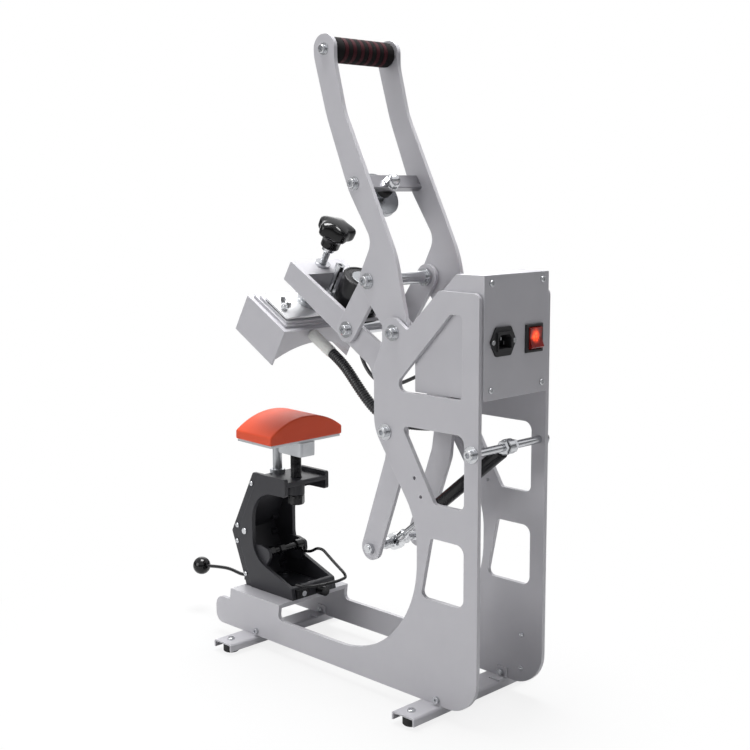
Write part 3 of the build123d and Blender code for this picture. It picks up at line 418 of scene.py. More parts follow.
# Polyamide conduit and PVC cable jacket.
CONDUIT = Finish(
    "black_polyamide_conduit", "matte_black", "#17171A", "#202023", 0.30, grain_mm=2.0,
    relief_mm=0.008, patch_mm=12, coat=0.2,
)

CAD_FINISHES: dict[Finish, tuple[str, ...]] = {
    FRAME_PAINT: (
        "side_plate_near", "side_plate_far", "shelf_plate", "foot_bars", "handle_arms",
        "toggle_links", "lifting_arms", "bridge", "magnet_bracket", "heater_hood", "heater_cover",
        "control_box", "rear_panel",
    ),
    ZINC: (
        "frame_hardware", "frame_pins", "handle_rods", "link_top_pin", "link_low_bolts",
        "arm_rods", "screw_bush",
    ),
    CHROME: ("wing_nut_near", "wing_nut_far", "spring_rod"),
    TURNED: ("heater_spindle", "magnet_pole", "armature_disc", "guide_post"),
    DRAWN: ("crossbar",),
    ROLLED: ("heater_top_plate",),
    ALUMINIUM: ("heater_platen", "platen_tray"),
    CAST_BLACK: ("casting_cheeks", "casting_core"),
    GLOSS_BLACK: ("spring_cylinder", "casting_fittings", "ball_lever", "wire_bail", "magnet_pot"),
    PHENOLIC: ("lever_ball", "round_knob", "box_glands"),
    ABS_BLACK: ("mains_inlet", "switch_frame", "display_bezel"),
    RUBBER: ("rubber_feet", "armature_cushion"),
    RED_BAND: ("grip_bands",),
    ROCKER_RED: ("rocker",),
    ACRYLIC: ("display_window",),
    KEY_GREY: ("key_down", "key_set", "key_up"),
}


def dress_frame() -> None:
    """Puts its finish on every CAD node that shows."""
    for finish, nodes in CAD_FINISHES.items():
        for name in nodes:
            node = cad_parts[name]
            for slot in node.material_slots:
                slot.material = finish.material()
            if not node.material_slots:
                node.data.materials.append(finish.material())
        LOG.info("%s on %s", finish.name, ", ".join(nodes))


# ---- making pieces ----
def new_object(name: str, data: bpy.types.ID) -> Object:
    """Makes an object of its data and puts it in the scene."""
    item = bpy.data.objects.new(name, data)
    bpy.context.scene.collection.objects.link(item)
    return item


def piece_from(mesh: Mesh, finish: Finish) -> Object:
    """Makes an object of a mesh in the row frame, under the mesh's name and in one finish."""
    mesh.materials.clear()
    mesh.materials.append(finish.material())
    return new_object(mesh.name, mesh)


def settle(
    mesh: Mesh, finish: Finish, body: str, replaced: Iterable[str] = (), slot: str = ""
) -> Object:
    """Makes a piece of a mesh and hands it over to the frame.

    Args:
        mesh: mesh in the row frame, whose name the piece takes.
        finish: what the piece is made of.
        body: the CAD body it rides on.
        replaced: CAD nodes that it stands for.
        slot: not used.

    Returns:
        The piece.
    """
    piece = piece_from(mesh, finish)
    slot = slot or finish.slot
    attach(piece, body)
    if replaced:
        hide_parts(*replaced)
    LOG.info("%s rides on %s, %d faces", piece.name, body, len(mesh.polygons))
    return piece


def plain_mesh(item: Object, name: str) -> Mesh:
    """What an object's modifiers make of it.

    Args:
        item: the object.
        name: the new mesh's name.

    Returns:
        A mesh of its own.
    """
    bpy.context.view_layer.update()
    evaluated = item.evaluated_get(bpy.context.evaluated_depsgraph_get())
    mesh = bpy.data.meshes.new_from_object(evaluated)
    mesh.name = name
    return mesh


def closed_mesh(name: str, build: BMesh, spot: Matrix, smooth_angle: float) -> Mesh:
    """Welds a bmesh, points its faces outwards and puts it in place.

    Args:
        name: the mesh's name.
        build: faces drawn in metres, freed here.
        spot: from the drawing to the row frame.
        smooth_angle: faces that meet at less than this, in degrees, are shaded smooth.

    Returns:
        The finished mesh.
    """
    bmesh.ops.remove_doubles(build, verts=build.verts, dist=1e-6)
    bmesh.ops.recalc_face_normals(build, faces=build.faces)
    build.transform(spot)
    for face in build.faces:
        face.smooth = True
    limit = math.radians(smooth_angle)
    for edge in build.edges:
        edge.smooth = len(edge.link_faces) == 2 and edge.calc_face_angle(0.0) < limit
    mesh = bpy.data.meshes.new(name)
    build.to_mesh(mesh)
    build.free()
    return mesh


def ringed(build: BMesh, rings: Sequence[Sequence[Vector]], closed: bool = False) -> None:
    """Skins a run of equal rings, with a fan over each end unless the run closes on itself.

    Args:
        build: where the faces go.
        rings: each ring's points in order.
        closed: joins the last ring to the first.
    """
    laid = [[build.verts.new(p) for p in ring] for ring in rings]
    count = len(laid[0])
    pairs = list(zip(laid, laid[1:])) + ([(laid[-1], laid[0])] if closed else [])
    for low, high in pairs:
        for k in range(count):
            build.faces.new((low[k], low[(k + 1) % count], high[(k + 1) % count], high[k]))
    if not closed:
        build.faces.new(list(reversed(laid[0])))
        build.faces.new(laid[-1])


def prism(build: BMesh, outline: Sequence[Span], at: Span, span: Span) -> None:
    """Adds an upright prism.

    Args:
        build: where the faces go.
        outline: its corners in order, in mm.
        at: where the outline's origin lies, in mm.
        span: the heights of its lower and upper face, in mm.
    """
    x, y = at
    corners = [((x + u) * MM, (y + v) * MM) for u, v in outline]
    ringed(build, [[Vector((*corner, z * MM)) for corner in corners] for z in span])


def turned(
    profile: Sequence[Span], sides: int = 48, axis: str = "Z", closed: bool = False,
    shape: Callable[[float, float, float], float] | None = None,
) -> BMesh:
    """Turns a profile about an axis.

    Args:
        profile: (radius, place along the axis) pairs in mm, from one end to the other.
        sides: points around.
        axis: X, Y or Z.
        closed: joins the profile's ends, for what has a bore.
        shape: makes the real radius of the profile's radius, the place along the axis and an
            angle, for what isn't round.

    Returns:
        A closed bmesh in metres.
    """
    order = {"X": (2, 0, 1), "Y": (0, 2, 1), "Z": (0, 1, 2)}[axis]
    rings = []
    for radius, along in profile:
        ring = []
        for k in range(sides):
            angle = 2 * math.pi * k / sides
            reach = shape(radius, along, angle) if shape else radius
            spot = (reach * math.cos(angle), reach * math.sin(angle), along)
            ring.append(Vector([spot[i] * MM for i in order]))
        rings.append(ring)
    build = bmesh.new()
    ringed(build, rings, closed)
    return build


def grown(name: str, tree: NodeTree, sizes: dict[str, Any], host: Object | None = None) -> Mesh:
    """Runs a geometry node tree and returns what it makes as a plain mesh.

    Args:
        name: the mesh's name.
        tree: the tree, with named inputs.
        sizes: input name to value.
        host: object whose geometry goes in, removed here; none for a tree of primitives.

    Returns:
        The realised mesh.
    """
    host = host or new_object(name + "_host", bpy.data.meshes.new(name + "_host"))
    modifier = host.modifiers.new("grow", "NODES")
    modifier.node_group = tree
    for socket in tree.interface.items_tree:
        if getattr(socket, "in_out", "") == "INPUT" and socket.name in sizes:
            modifier[socket.identifier] = sizes[socket.name]
    mesh = plain_mesh(host, name)
    host.modifiers.remove(modifier)
    bpy.data.objects.remove(host)
    return mesh


def node_group(name: str, **sizes: str) -> tuple[NodeTree, list[NodeSocket]]:
    """Starts a geometry node tree.

    Args:
        name: the tree's name.
        sizes: the name of each size and its kind, Float or Int.

    Returns:
        The tree, and the outputs that give its geometry and its sizes, in order.
    """
    tree = bpy.data.node_groups.new(name, "GeometryNodeTree")
    kinds = {"Geometry": "Geometry", **sizes}
    for label, kind in kinds.items():
        tree.interface.new_socket(name=label, in_out="INPUT", socket_type="NodeSocket" + kind)
    tree.interface.new_socket(name="Geometry", in_out="OUTPUT", socket_type="NodeSocketGeometry")
    given = add_node(tree, "NodeGroupInput")
    return tree, [given.outputs[label] for label in kinds]


def close_group(tree: NodeTree, shapes: Sequence[NodeSocket], finish: Finish) -> None:
    """Ends a tree: joins its shapes, realises them and gives them their finish.

    Args:
        tree: the tree.
        shapes: outputs that make geometry.
        finish: what they are made of.
    """
    joined = add_node(tree, "GeometryNodeJoinGeometry")
    for shape in shapes:
        tree.links.new(shape, joined.inputs[0])
    real = add_node(tree, "GeometryNodeRealizeInstances", {0: joined.outputs[0]})
    inputs = {"Geometry": real.outputs[0], "Material": finish.material()}
    dressed = add_node(tree, "GeometryNodeSetMaterial", inputs)
    add_node(tree, "NodeGroupOutput", {0: dressed.outputs[0]})


def circle(tree: NodeTree, points: int, radius: NodeSocket) -> NodeSocket:
    """A circle of a given number of points."""
    inputs = {"Resolution": points, "Radius": radius}
    return add_node(tree, "GeometryNodeCurvePrimitiveCircle", inputs).outputs[0]


def swept(tree: NodeTree, line: NodeSocket, section: NodeSocket) -> NodeSocket:
    """A section led along a line, with its ends capped."""
    inputs = {"Curve": line, "Profile Curve": section, "Fill Caps": True}
    return add_node(tree, "GeometryNodeCurveToMesh", inputs).outputs[0]


def softened(tree: NodeTree, shape: NodeSocket) -> NodeSocket:
    """A shape with its faces shaded smooth."""
    return add_node(tree, "GeometryNodeSetShadeSmooth", {"Geometry": shape}).outputs[0]


def thread_tree(finish: Finish) -> NodeTree:
    """A threaded rod along Z: a core with a helical ridge wound on it.

    Args:
        finish: what it is made of.

    Returns:
        A tree with the sizes Core and Ridge, both radii, Length and Turns.
    """
    tree, (_, core, ridge, length, turns) = node_group(
        "thread_" + finish.name, Core="Float", Ridge="Float", Length="Float", Turns="Float"
    )
    helix = add_node(
        tree, "GeometryNodeCurveSpiral",
        {"Resolution": 28, "Rotations": turns, "Start Radius": core, "End Radius": core,
         "Height": length},
    )
    wound = swept(tree, helix.outputs[0], circle(tree, 4, ridge))
    rod = add_node(
        tree, "GeometryNodeMeshCylinder", {"Vertices": 40, "Radius": core, "Depth": length}
    )
    lift = add_node(tree, "ShaderNodeCombineXYZ", {"Z": times(tree, length, 0.5)})
    raised = add_node(
        tree, "GeometryNodeTransform",
        {"Geometry": rod.outputs["Mesh"], "Translation": lift.outputs[0]},
    )
    close_group(tree, [wound, softened(tree, raised.outputs[0])], finish)
    return tree


def hose_tree(finish: Finish) -> NodeTree:
    """A corrugated hose along a curve: a tube with evenly spaced round ribs.

    Args:
        finish: what it is made of.

    Returns:
        A tree with the sizes Root and Rib, both radii, and the number of Ribs.
    """
    tree, (line, root, bead, count) = node_group("ribbed_hose", Root="Float", Rib="Float", Ribs="Int")
    hoop = circle(tree, 28, root)
    even = add_node(tree, "GeometryNodeResampleCurve", {"Curve": line, "Count": 160})
    tube = swept(tree, even.outputs[0], hoop)
    places = add_node(
        tree, "GeometryNodeCurveToPoints", {"Curve": line, "Count": count}, mode="COUNT"
    )
    facing = add_node(
        tree, "FunctionNodeAlignRotationToVector", {"Vector": places.outputs["Tangent"]}, axis="Z"
    )
    ribs = add_node(
        tree, "GeometryNodeInstanceOnPoints",
        {"Points": places.outputs["Points"], "Instance": swept(tree, hoop, circle(tree, 8, bead)),
         "Rotation": facing.outputs[0]},
    )
    close_group(tree, [softened(tree, shape) for shape in (tube, ribs.outputs[0])], finish)
    return tree


# ---- sub-assemblies ----
@dataclass
class GripHandle:
    """Foam grip of the handle, with six red rings let into it."""

    length: float = 109.4
    radius: float = 16.75
    bore: float = 5.2
    rings: int = 6
    spacing: float = 14.4
    ring_half: float = 3.25  # half the width of a ring's seat
    seat: float = 0.95  # depth of a ring's seat
    skin: float = 0.35  # how far the foam stays inside its CAD solid
    swell: float = 0.25  # height of the soft waves between the rings
    end_length: float = 5.0  # rounding of the ends, along and inwards
    end_drop: float = 3.6
    steps: int = 240
    sides: int = 64

    def build(self) -> None:
        """Makes the foam and hands it over."""
        half = self.length / 2
        centres = [self.spacing * (k - (self.rings - 1) / 2) for k in range(self.rings)]
        outside = []
        for k in range(self.steps + 1):
            x = -half + self.length * k / self.steps
            near_ring = min(abs(x - c) for c in centres)
            end = max(0.0, abs(x) - (half - self.end_length)) / self.end_length
            wave = self.swell * math.cos(min(near_ring / (self.spacing / 2), 1.0) * math.pi)
            drop = self.end_drop * (1 - math.sqrt(max(0.0, 1 - end * end)))
            radius = self.radius - self.skin - wave - drop
            if near_ring < self.ring_half:
                radius -= self.seat
            outside.append((radius, x))
        profile = [(self.bore, -half)] + outside + [(self.bore, half)]
        build = turned(profile, self.sides, "X", closed=True)
        foam = settle(closed_mesh("foam_sleeve", build, GRIP, 50), FOAM, "handle", ["grip_foam"])


@dataclass
class HeaterHead:
    """Lobed knob, pressure screw and lead sleeve of the swinging heater."""

    knob_low: float = 106.0
    knob_hub: float = 13.0
    lobes: int = 5
    lobe_depth: float = 0.10  # share of the radius
    lobe_fade: float = 9.0  # mm of radius over which the lobes grow out of the hub
    screw_low: float = 21.0
    screw_radius: float = 5.0
    ridge: float = 0.62
    pitch: float = 1.5
    collar_height: float = 6.0
    collar_radius: float = 9.0
    collar_bore: float = 3.0
    collar_broken: float = 0.6  # rounding of the collar's edges
    sleeve_at: Point = (20, 46, -7)
    sleeve_span: Span = (0.5, 49.5)
    sleeve_core: float = 5.9  # radius of the drawn-in ends
    sleeve_swell: float = 2.3
    drawn_in: float = 0.08  # share of the length that each end takes
    sleeve_steps: int = 100
    braid_height: float = 0.22
    strands: int = 12
    braid_turn: float = 1.35  # radians a millimetre
    knob_profile: Sequence[Span] = (
        (11.8, 0.0), (12.9, 0.5), (13.4, 1.6), (13.6, 8.0), (14.0, 11.0), (15.6, 13.8),
        (18.8, 16.2), (22.6, 18.0), (25.4, 19.4), (27.0, 21.2), (27.6, 23.4), (27.9, 28.0),
        (27.8, 32.2), (27.0, 34.4), (25.2, 36.2), (22.4, 37.6), (18.6, 38.8), (14.0, 39.7),
        (9.0, 40.2), (4.0, 40.5), (0.6, 40.55),
    )

    def _lobed(self, radius: float, _: float, angle: float) -> float:
        """The knob's real radius, with lobes that fade out towards the round hub."""
        share = min(max((radius - self.knob_hub) / self.lobe_fade, 0.0), 1.0)
        return radius * (1.0 + share * self.lobe_depth * (math.cos(self.lobes * angle) - 1.0))

    def _knob(self) -> None:
        """The five-lobed knob with its gently domed top."""
        build = turned(self.knob_profile, 120, shape=self._lobed)
        spot = shifted(HEAD, 0, 0, self.knob_low)
        settle(closed_mesh("star_knob_lobed", build, spot, 40), PHENOLIC, "screw", ["star_knob"])

    def _screw(self) -> None:
        """The threaded rod between heater and knob, with its plain collar."""
        length = self.knob_low - self.screw_low - self.collar_height
        sizes = {
            "Core": (self.screw_radius - self.ridge) * MM, "Ridge": self.ridge * MM,
            "Length": length * MM, "Turns": length / self.pitch,
        }
        mesh = grown("pressure_thread", thread_tree(TURNED), sizes)
        mesh.transform(shifted(HEAD, 0, 0, self.screw_low))
        settle(mesh, TURNED, "screw", ["pressure_screw"])
        bore, top, low = self.collar_bore, self.collar_radius, -self.collar_height
        inner, broken = top - self.collar_broken, self.collar_broken
        collar = turned((
            (bore, low), (inner, low), (top, low + broken), (top, -broken), (inner, 0.0),
            (bore, 0.0),
        ))
        mesh = closed_mesh("screw_collar", collar, shifted(HEAD, 0, 0, self.knob_low), 30)
        settle(mesh, ZINC, "screw", slot=TURNED.slot)

    def _braided(self, radius: float, y: float, angle: float) -> float:
        """The sleeve's real radius.

        Args:
            radius: the sleeve's radius without its braid, in mm.
            y: place along the sleeve, in mm.
            angle: in radians.

        Returns:
            A radius with crossing strands that fade out towards the drawn-in ends.
        """
        fade = (radius - self.sleeve_core) / self.sleeve_swell
        around, turn = self.strands * angle, self.braid_turn * y
        return radius + fade * self.braid_height * math.sin(around + turn) * math.sin(around - turn)

    def _sleeve(self) -> None:
        """The braided sleeve round the leads, soft at both ends."""
        profile = []
        low, high = self.sleeve_span
        for k in range(self.sleeve_steps + 1):
            share = k / self.sleeve_steps
            from_end = min(share, 1 - share) / self.drawn_in
            swell = self.sleeve_swell * math.sin(math.pi * min(from_end, 1) / 2)
            profile.append((self.sleeve_core + swell, low + (high - low) * share))
        build = turned(profile, 48, "Y", shape=self._braided)
        mesh = closed_mesh("braided_sleeve", build, shifted(HEAD, *self.sleeve_at), 60)
        settle(mesh, GLASS_BRAID, "heater", ["lead_sleeve"])

    def build(self) -> None:
        """Makes every piece of the head."""
        self._knob()
        self._screw()
        self._sleeve()


@dataclass
class Leads:
    """The heater's ribbed hose and the magnet's cable."""

    hose_route: Sequence[Point] = (
        (20, -305.7, 448.1), (20, -289.3, 438.5), (20, -274, 425.7), (19.5, -260.3, 411),
        (18, -247, 396.2), (15.5, -233.1, 381.8), (12, -216.9, 370), (7, -199.5, 363.7),
        (1, -181.1, 362.1), (-4, -162.6, 362.4), (-7, -144.2, 364), (-7.5, -128.4, 367.4),
        (-6, -114.3, 375.2), (-3.5, -103.4, 387), (-1, -96.6, 401.5), (0, -95, 417.2),
    )
    cable_route: Sequence[Point] = (
        (0, -264.3, 488.7), (0, -272.5, 474.6), (0, -272, 452), (0, -262, 431.5), (0, -244, 416),
        (0, -220, 409.5), (0, -195, 415), (-1, -170, 426), (-2.5, -142, 439), (-4, -113.6, 446),
    )
    hose_radius: float = 7.6
    hose_length: float = 275.7
    cable_radius: float = 2.6
    cable_length: float = 221.5
    ribs: int = 76
    rib: float = 1.2

    @staticmethod
    def _line(name: str, route: Sequence[Point]) -> Object:
        """Draws a lead's middle line.

        Args:
            name: the line's name.
            route: control points in drawing mm.

        Returns:
            A smooth open spline.
        """
        curve = bpy.data.curves.new(name, "CURVE")
        curve.dimensions = "3D"
        curve.resolution_u = 24
        spline = curve.splines.new("NURBS")
        spline.points.add(len(route) - 1)
        for point, spot in zip(spline.points, route):
            at = PRESS @ Vector([c * MM for c in spot])
            point.co = (at.x, at.y, at.z, 1.0)
        spline.order_u = 3
        spline.use_endpoint_u = True
        return new_object(name, curve)

    @staticmethod
    def _points(line: Object) -> list[Vector]:
        """The points that a spline follows."""
        mesh = plain_mesh(line, "line_points")
        points = [v.co.copy() for v in mesh.vertices]
        bpy.data.meshes.remove(mesh)
        return points

    @staticmethod
    def _hand_over(
        mesh: Mesh, points: list[Vector], node: str, length: float, radius: float
    ) -> None:
        """Args:
            mesh: the lead.
            points: its middle line, from the arm to the frame.
            node: the CAD node that it stands for.
            length: not used.
            radius: not used.
        """
        piece = piece_from(mesh, CONDUIT)
        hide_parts(node)
        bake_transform(piece)
        LOG.info("%s follows %d points", piece.name, len(points))

    def build(self) -> None:
        """Makes both leads."""
        line = self._line("hose_line", self.hose_route)
        points = self._points(line)
        root = self.hose_radius - self.rib
        sizes = {"Root": root * MM, "Rib": self.rib * MM, "Ribs": self.ribs}
        mesh = grown("heater_conduit", hose_tree(CONDUIT), sizes, line)
        self._hand_over(mesh, points, "heater_hose", self.hose_length, self.hose_radius)

        line = self._line("cable_line", self.cable_route)
        points = self._points(line)
        line.data.bevel_depth = self.cable_radius * MM
        line.data.bevel_resolution = 6
        line.data.use_fill_caps = True
        mesh = plain_mesh(line, "magnet_lead")
        bpy.data.objects.remove(line)
        self._hand_over(mesh, points, "magnet_cable", self.cable_length, self.cable_radius)


@dataclass
class GasSpring:
    """The bright eye at the gas spring's rear end, and its neck."""

    eye: float = 9.9
    bore: float = 5.2
    half_width: float = 5.8
    neck: float = 6.4
    neck_bore: float = 3.0
    neck_span: Span = (8.6, 12.6)
    broken: float = 1.0  # rounding of the eye's edges

    def build(self) -> None:
        """Makes the eye, with its edges broken, and the neck that screws into the cylinder."""
        side, top, broken = self.half_width, self.eye, self.broken
        section = (
            (self.bore, -side), (top - broken, -side), (top, -side + broken),
            (top, side - broken), (top - broken, side), (self.bore, side),
        )
        build = turned(section, 48, "X", closed=True)
        settle(closed_mesh("spring_eye", build, SPRING, 30), ZINC, "spring_cylinder_body")
        bore, top, (low, high) = self.neck_bore, self.neck, self.neck_span
        build = turned(((bore, low), (top, low), (top, high), (bore, high)), 36)
        spot = SPRING @ Matrix.Rotation(-math.pi / 2, 4, "X")
        settle(closed_mesh("spring_neck", build, spot, 30), ZINC, "spring_cylinder_body")


@dataclass
class LowerPlaten:
    """The arched silicone pad and the screw that lifts it."""

    width: float = 140.0
    depth: float = 79.0
    radius: float = 115.6
    height: float = 36.0
    edge: float = 2.2  # rounding of the pad's edges
    arc_steps: int = 56
    screw_at: Span = (-409.0, 224.0)
    screw_radius: float = 8.3
    screw_length: float = 62.0
    ridge: float = 0.85
    clearance: float = 0.2  # how far the thread stays inside its CAD solid at each end
    pitch: float = 2.0
    nut_flat: float = 11.0
    nut_profile: Sequence[Span] = (
        (5.0, 212.0), (11.0, 212.0), (12.6, 213.2), (12.6, 224.8), (11.0, 226.0), (5.0, 226.0),
    )

    def _pad(self) -> None:
        """The pad, with moulded edges."""
        half, deep = self.width / 2, self.depth / 2
        outline = [(-half, -self.height), (half, -self.height)]
        for k in range(self.arc_steps + 1):
            x = half - self.width * k / self.arc_steps
            outline.append((x, math.sqrt(self.radius**2 - x * x) - self.radius))
        build = bmesh.new()
        rings = [[Vector((x * MM, y * MM, z * MM)) for x, z in outline] for y in (-deep, deep)]
        ringed(build, rings)
        block = new_object("saddle_block", closed_mesh("saddle_block", build, PAD, 30))
        bevel = block.modifiers.new("moulded_edge", "BEVEL")
        bevel.width = self.edge * MM
        bevel.segments = 4
        bevel.limit_method = "ANGLE"
        bevel.angle_limit = math.radians(30)
        mesh = plain_mesh(block, "silicone_saddle")
        block.modifiers.clear()
        bpy.data.objects.remove(block)
        for polygon in mesh.polygons:
            polygon.use_smooth = True
        pad = settle(mesh, SILICONE, "frame", ["silicone_pad"])

    def _hexagon(self, radius: float, _: float, angle: float) -> float:
        """The nut's real radius, no longer than the way to the nearest of its six flats."""
        from_flat = (angle + math.pi / 6) % (math.pi / 3) - math.pi / 6
        return min(radius, self.nut_flat / math.cos(from_flat))

    def _lift_screw(self) -> None:
        """The coarse black screw under the pad, with its nut."""
        y, z = self.screw_at
        sizes = {
            "Core": (self.screw_radius - self.ridge) * MM, "Ridge": self.ridge * MM,
            "Length": (self.screw_length - 2 * self.clearance) * MM,
            "Turns": self.screw_length / self.pitch,
        }
        mesh = grown("lift_thread", thread_tree(GLOSS_BLACK), sizes)
        mesh.transform(place(0, y, z + self.clearance))
        settle(mesh, GLOSS_BLACK, "frame", ["lift_screw"])
        build = turned(self.nut_profile, shape=self._hexagon)
        settle(closed_mesh("lift_nut", build, place(0, y, 0), 20), GLOSS_BLACK, "frame")

    def build(self) -> None:
        """Makes the pad and its screw."""
        self._pad()
        self._lift_screw()


SEGMENTS = {"1": "bc", "8": "abcdefg", "0": "abcdef"}  # a at the top, clockwise, g in the middle


@dataclass
class ControlPanel:
    """Lit digits and key marks of the control box."""

    digit_height: float = 12.5
    digit_width: float = 7.0
    stroke: float = 1.5
    digit_pitch: float = 13.0
    digit_row: float = 11.0
    digit_span: Span = (0.4, 0.95)
    key_row: float = -14.0
    mark_span: Span = (2.3, 2.5)
    digits: str = "180"

    def _bar(self, build: BMesh, centre: Span, size: Span) -> None:
        """Adds a pointed bar, lying along its longer side.

        Args:
            build: where the faces go.
            centre: middle, in mm.
            size: length along x and y, in mm.
        """
        a, b = size[0] / 2, size[1] / 2
        tip = min(a, b)
        if a > b:
            outline = [(-a, 0), (-a + tip, -b), (a - tip, -b), (a, 0), (a - tip, b), (-a + tip, b)]
        else:
            outline = [(0, -b), (a, -b + tip), (a, b - tip), (0, b), (-a, b - tip), (-a, -b + tip)]
        prism(build, outline, centre, self.digit_span)

    def _display(self) -> None:
        """Three seven-segment digits just proud of the window."""
        build = bmesh.new()
        w, h, t = self.digit_width / 2, self.digit_height / 2, self.stroke
        bars = {
            "a": ((0, h), (2 * w, t)), "g": ((0, 0), (2 * w, t)), "d": ((0, -h), (2 * w, t)),
            "f": ((-w, h / 2), (t, h)), "b": ((w, h / 2), (t, h)),
            "e": ((-w, -h / 2), (t, h)), "c": ((w, -h / 2), (t, h)),
        }
        for k, digit in enumerate(self.digits):
            for name in SEGMENTS[digit]:
                (x, y), size = bars[name]
                centre = (x + self.digit_pitch * (k - 1), y + self.digit_row)
                self._bar(build, centre, size)
        settle(closed_mesh("display_digits", build, FACE, 30), LED_RED, "frame")

    def _key_marks(self) -> None:
        """A mark on each key: down, set and up."""
        marks = {
            "key_down": (-18.0, [(0, -2), (2.1, 1.4), (-2.1, 1.4)]),
            "key_set": (0.0, [(-1.6, -1.6), (1.6, -1.6), (1.6, 1.6), (-1.6, 1.6)]),
            "key_up": (18.0, [(0, 2), (-2.1, -1.4), (2.1, -1.4)]),
        }
        for node, (x, outline) in marks.items():
            build = bmesh.new()
            prism(build, outline, (x, self.key_row), self.mark_span)
            mesh = closed_mesh(node + "_mark", build, FACE, 30)
            settle(mesh, PRINT_WHITE, node + "_body")

    def build(self) -> None:
        """Makes the digits and the marks."""
        self._display()
        self._key_marks()


WHITE = (1.0, 1.0, 1.0, 1.0)


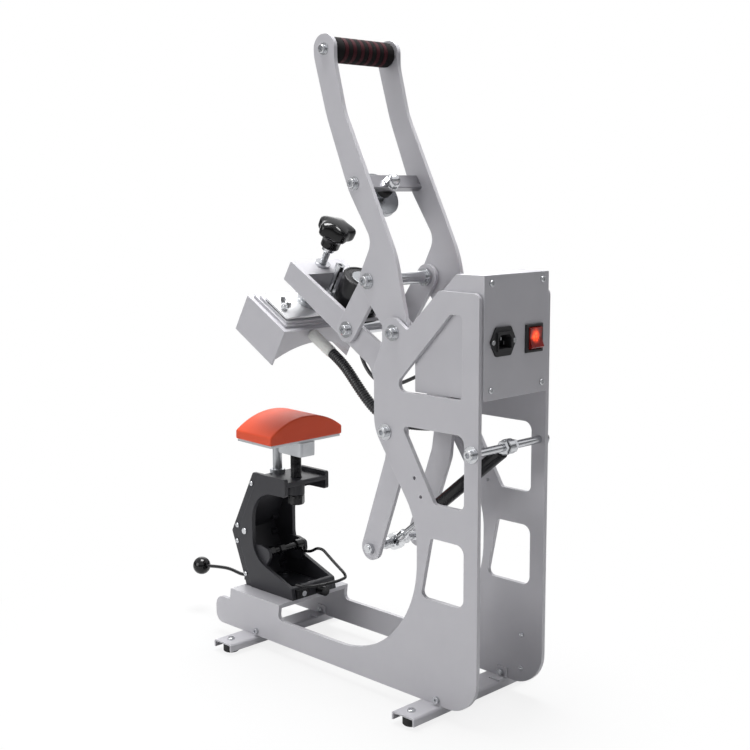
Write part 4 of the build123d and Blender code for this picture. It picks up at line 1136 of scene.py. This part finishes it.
@dataclass
class Studio:
    """Camera, three soft lamps, white surroundings and a white paper floor."""

    camera_at: Point = (1180.1, 934.0, 669.9)
    azimuth: float = 134.922
    elevation: float = 8.461
    roll: float = -0.260
    lens: float = 59.12
    fill: float = 0.29  # the world as a lamp
    fade_near: float = 0.84  # share of plain white on the floor under the press
    fade_start: float = 0.25  # metres from the middle where the floor begins to whiten
    fade_reach: float = 0.62  # metres from the middle where the floor is all white
    aim: Point = (0, 0, 0.42)
    lamps: Sequence[tuple[str, Point, float, float]] = (
        ("top_lamp", (-0.1, -0.1, 2.6), 1.2, 96),  # name, place, size in metres, watts
        ("near_lamp", (2.4, -0.8, 1.0), 1.5, 25),
        ("front_lamp", (-1.5, -1.9, 1.4), 1.6, 14),
    )
    floor_reach: float = 9.0  # metres from the middle to the floor's edges
    floor_gap: float = 0.0004  # metres under the feet, so that they don't flicker in it
    walls: Sequence[Span] = (  # what mirrors see, top to bottom
        (0.0, 1.0), (0.30, 1.0), (0.36, 0.12), (0.47, 0.20), (0.53, 0.75), (1.0, 0.9),
    )

    def _camera(self) -> None:
        """The camera at the photograph's place."""
        data = bpy.data.cameras.new("photo_camera")
        data.lens = self.lens
        data.sensor_width = 36.0
        data.clip_end = 50.0
        camera = new_object("photo_camera", data)
        turn = Matrix.Rotation(math.radians(self.azimuth), 4, "Z")
        tilt = Matrix.Rotation(math.radians(90 - self.elevation), 4, "X")
        roll = Matrix.Rotation(math.radians(self.roll), 4, "Z")
        spot = PRESS @ Vector([c * MM for c in self.camera_at])
        camera.matrix_world = Matrix.Translation(spot) @ (turn @ tilt @ roll)
        bpy.context.scene.camera = camera

    def _lamp(self, name: str, spot: Vector, size: float, power: float) -> None:
        """Adds a square soft lamp that points at the press.

        Args:
            name: the lamp's name.
            spot: its place, in metres.
            size: length of its sides, in metres.
            power: in watts.
        """
        data = bpy.data.lights.new(name, "AREA")
        data.shape = "SQUARE"
        data.size = size
        data.energy = power
        lamp = new_object(name, data)
        lamp.location = spot
        lamp.rotation_euler = (Vector(self.aim) - spot).to_track_quat("-Z", "Y").to_euler()

    @staticmethod
    def _either(tree: NodeTree, share: NodeSocket, first: Node, second: Node) -> Node:
        """A shader that goes over into another with a share from 0 to 1."""
        inputs = {0: share, 1: first.outputs[0], 2: second.outputs[0]}
        return add_node(tree, "ShaderNodeMixShader", inputs)

    @staticmethod
    def _glow(tree: NodeTree, colour: Any, strength: float = 1.0, kind: str = "Background") -> Node:
        """A shader that gives off light of its own: Background or Emission."""
        return add_node(tree, "ShaderNode" + kind, {"Color": colour, "Strength": strength})

    def _paper(self) -> Material:
        """White paper that takes shadows as paper and fades to white away from the press."""
        material = bpy.data.materials.new("seamless_white_paper")
        material.use_nodes = True
        tree = material.node_tree
        tree.nodes.clear()
        paper = add_node(tree, "ShaderNodeBsdfDiffuse", {"Color": linear("#CCCCCC")})
        white = self._glow(tree, WHITE, kind="Emission")
        spot = add_node(tree, "ShaderNodeTexCoord").outputs["Object"]
        away = add_node(
            tree, "ShaderNodeVectorMath", {0: spot, 1: (0.0, 0.0, 0.0)}, operation="DISTANCE"
        )
        fade = remap(
            tree, away.outputs["Value"], (self.fade_start, self.fade_reach), (self.fade_near, 1.0),
            interpolation_type="SMOOTHSTEP",
        )
        seen = add_node(tree, "ShaderNodeLightPath").outputs["Is Camera Ray"]
        surface = self._either(tree, times(tree, fade, seen), paper, white)
        add_node(tree, "ShaderNodeOutputMaterial", {"Surface": surface.outputs[0]})
        return material

    def _world(self) -> None:
        """White to the camera, an even lamp to matt surfaces, banded walls to mirrors."""
        world = bpy.data.worlds.new("studio_world")
        bpy.context.scene.world = world
        world.use_nodes = True
        tree = world.node_tree
        tree.nodes.clear()
        path = add_node(tree, "ShaderNodeLightPath").outputs
        fill = self._glow(tree, (0.93, 0.94, 0.97, 1.0), self.fill)
        # A ray that goes up comes in at -1 and one that goes down at 1.
        ray = add_node(tree, "ShaderNodeNewGeometry").outputs["Incoming"]
        height = add_node(tree, "ShaderNodeSeparateXYZ", {0: ray}).outputs["Z"]
        down = remap(tree, height, (-1.0, 1.0), (0.0, 1.0))
        walls = add_node(tree, "ShaderNodeValToRGB", {"Fac": down})
        ramp = walls.color_ramp
        while len(ramp.elements) < len(self.walls):
            ramp.elements.new(0.5)
        for element, (place_on, level) in zip(ramp.elements, self.walls):
            element.position = place_on
            element.color = (level, level, level * 1.02, 1.0)
        mirrored = self._glow(tree, walls.outputs["Color"])
        soft = self._either(tree, path["Is Glossy Ray"], fill, mirrored)
        surface = self._either(tree, path["Is Camera Ray"], soft, self._glow(tree, WHITE))
        add_node(tree, "ShaderNodeOutputWorld", {"Surface": surface.outputs[0]})

    def _floor(self) -> None:
        """The paper under the press."""
        build = bmesh.new()
        reach, gap = self.floor_reach, self.floor_gap
        square = ((-1, -1), (1, -1), (1, 1), (-1, 1))
        corners = [Vector((x * reach, y * reach, -gap)) for x, y in square]
        build.faces.new([build.verts.new(c) for c in corners])
        mesh = bpy.data.meshes.new("floor")
        build.to_mesh(mesh)
        build.free()
        floor = new_object("floor", mesh)
        floor.data.materials.append(self._paper())

    def build(self) -> None:
        """Sets up the studio."""
        bpy.context.scene.view_settings.view_transform = "Standard"
        self._camera()
        self._world()
        for name, spot, size, power in self.lamps:
            self._lamp(name, Vector(spot), size, power)
        self._floor()


def main() -> None:
    """Builds the press's looks in order."""
    logging.basicConfig(level=logging.INFO, format="%(name)s: %(message)s")
    dress_frame()
    for assembly in (GripHandle(), HeaterHead(), Leads(), GasSpring(), LowerPlaten(), ControlPanel()):
        assembly.build()
        LOG.info("%s done", type(assembly).__name__)
    Studio().build()


if __name__ == "__main__":
    main()
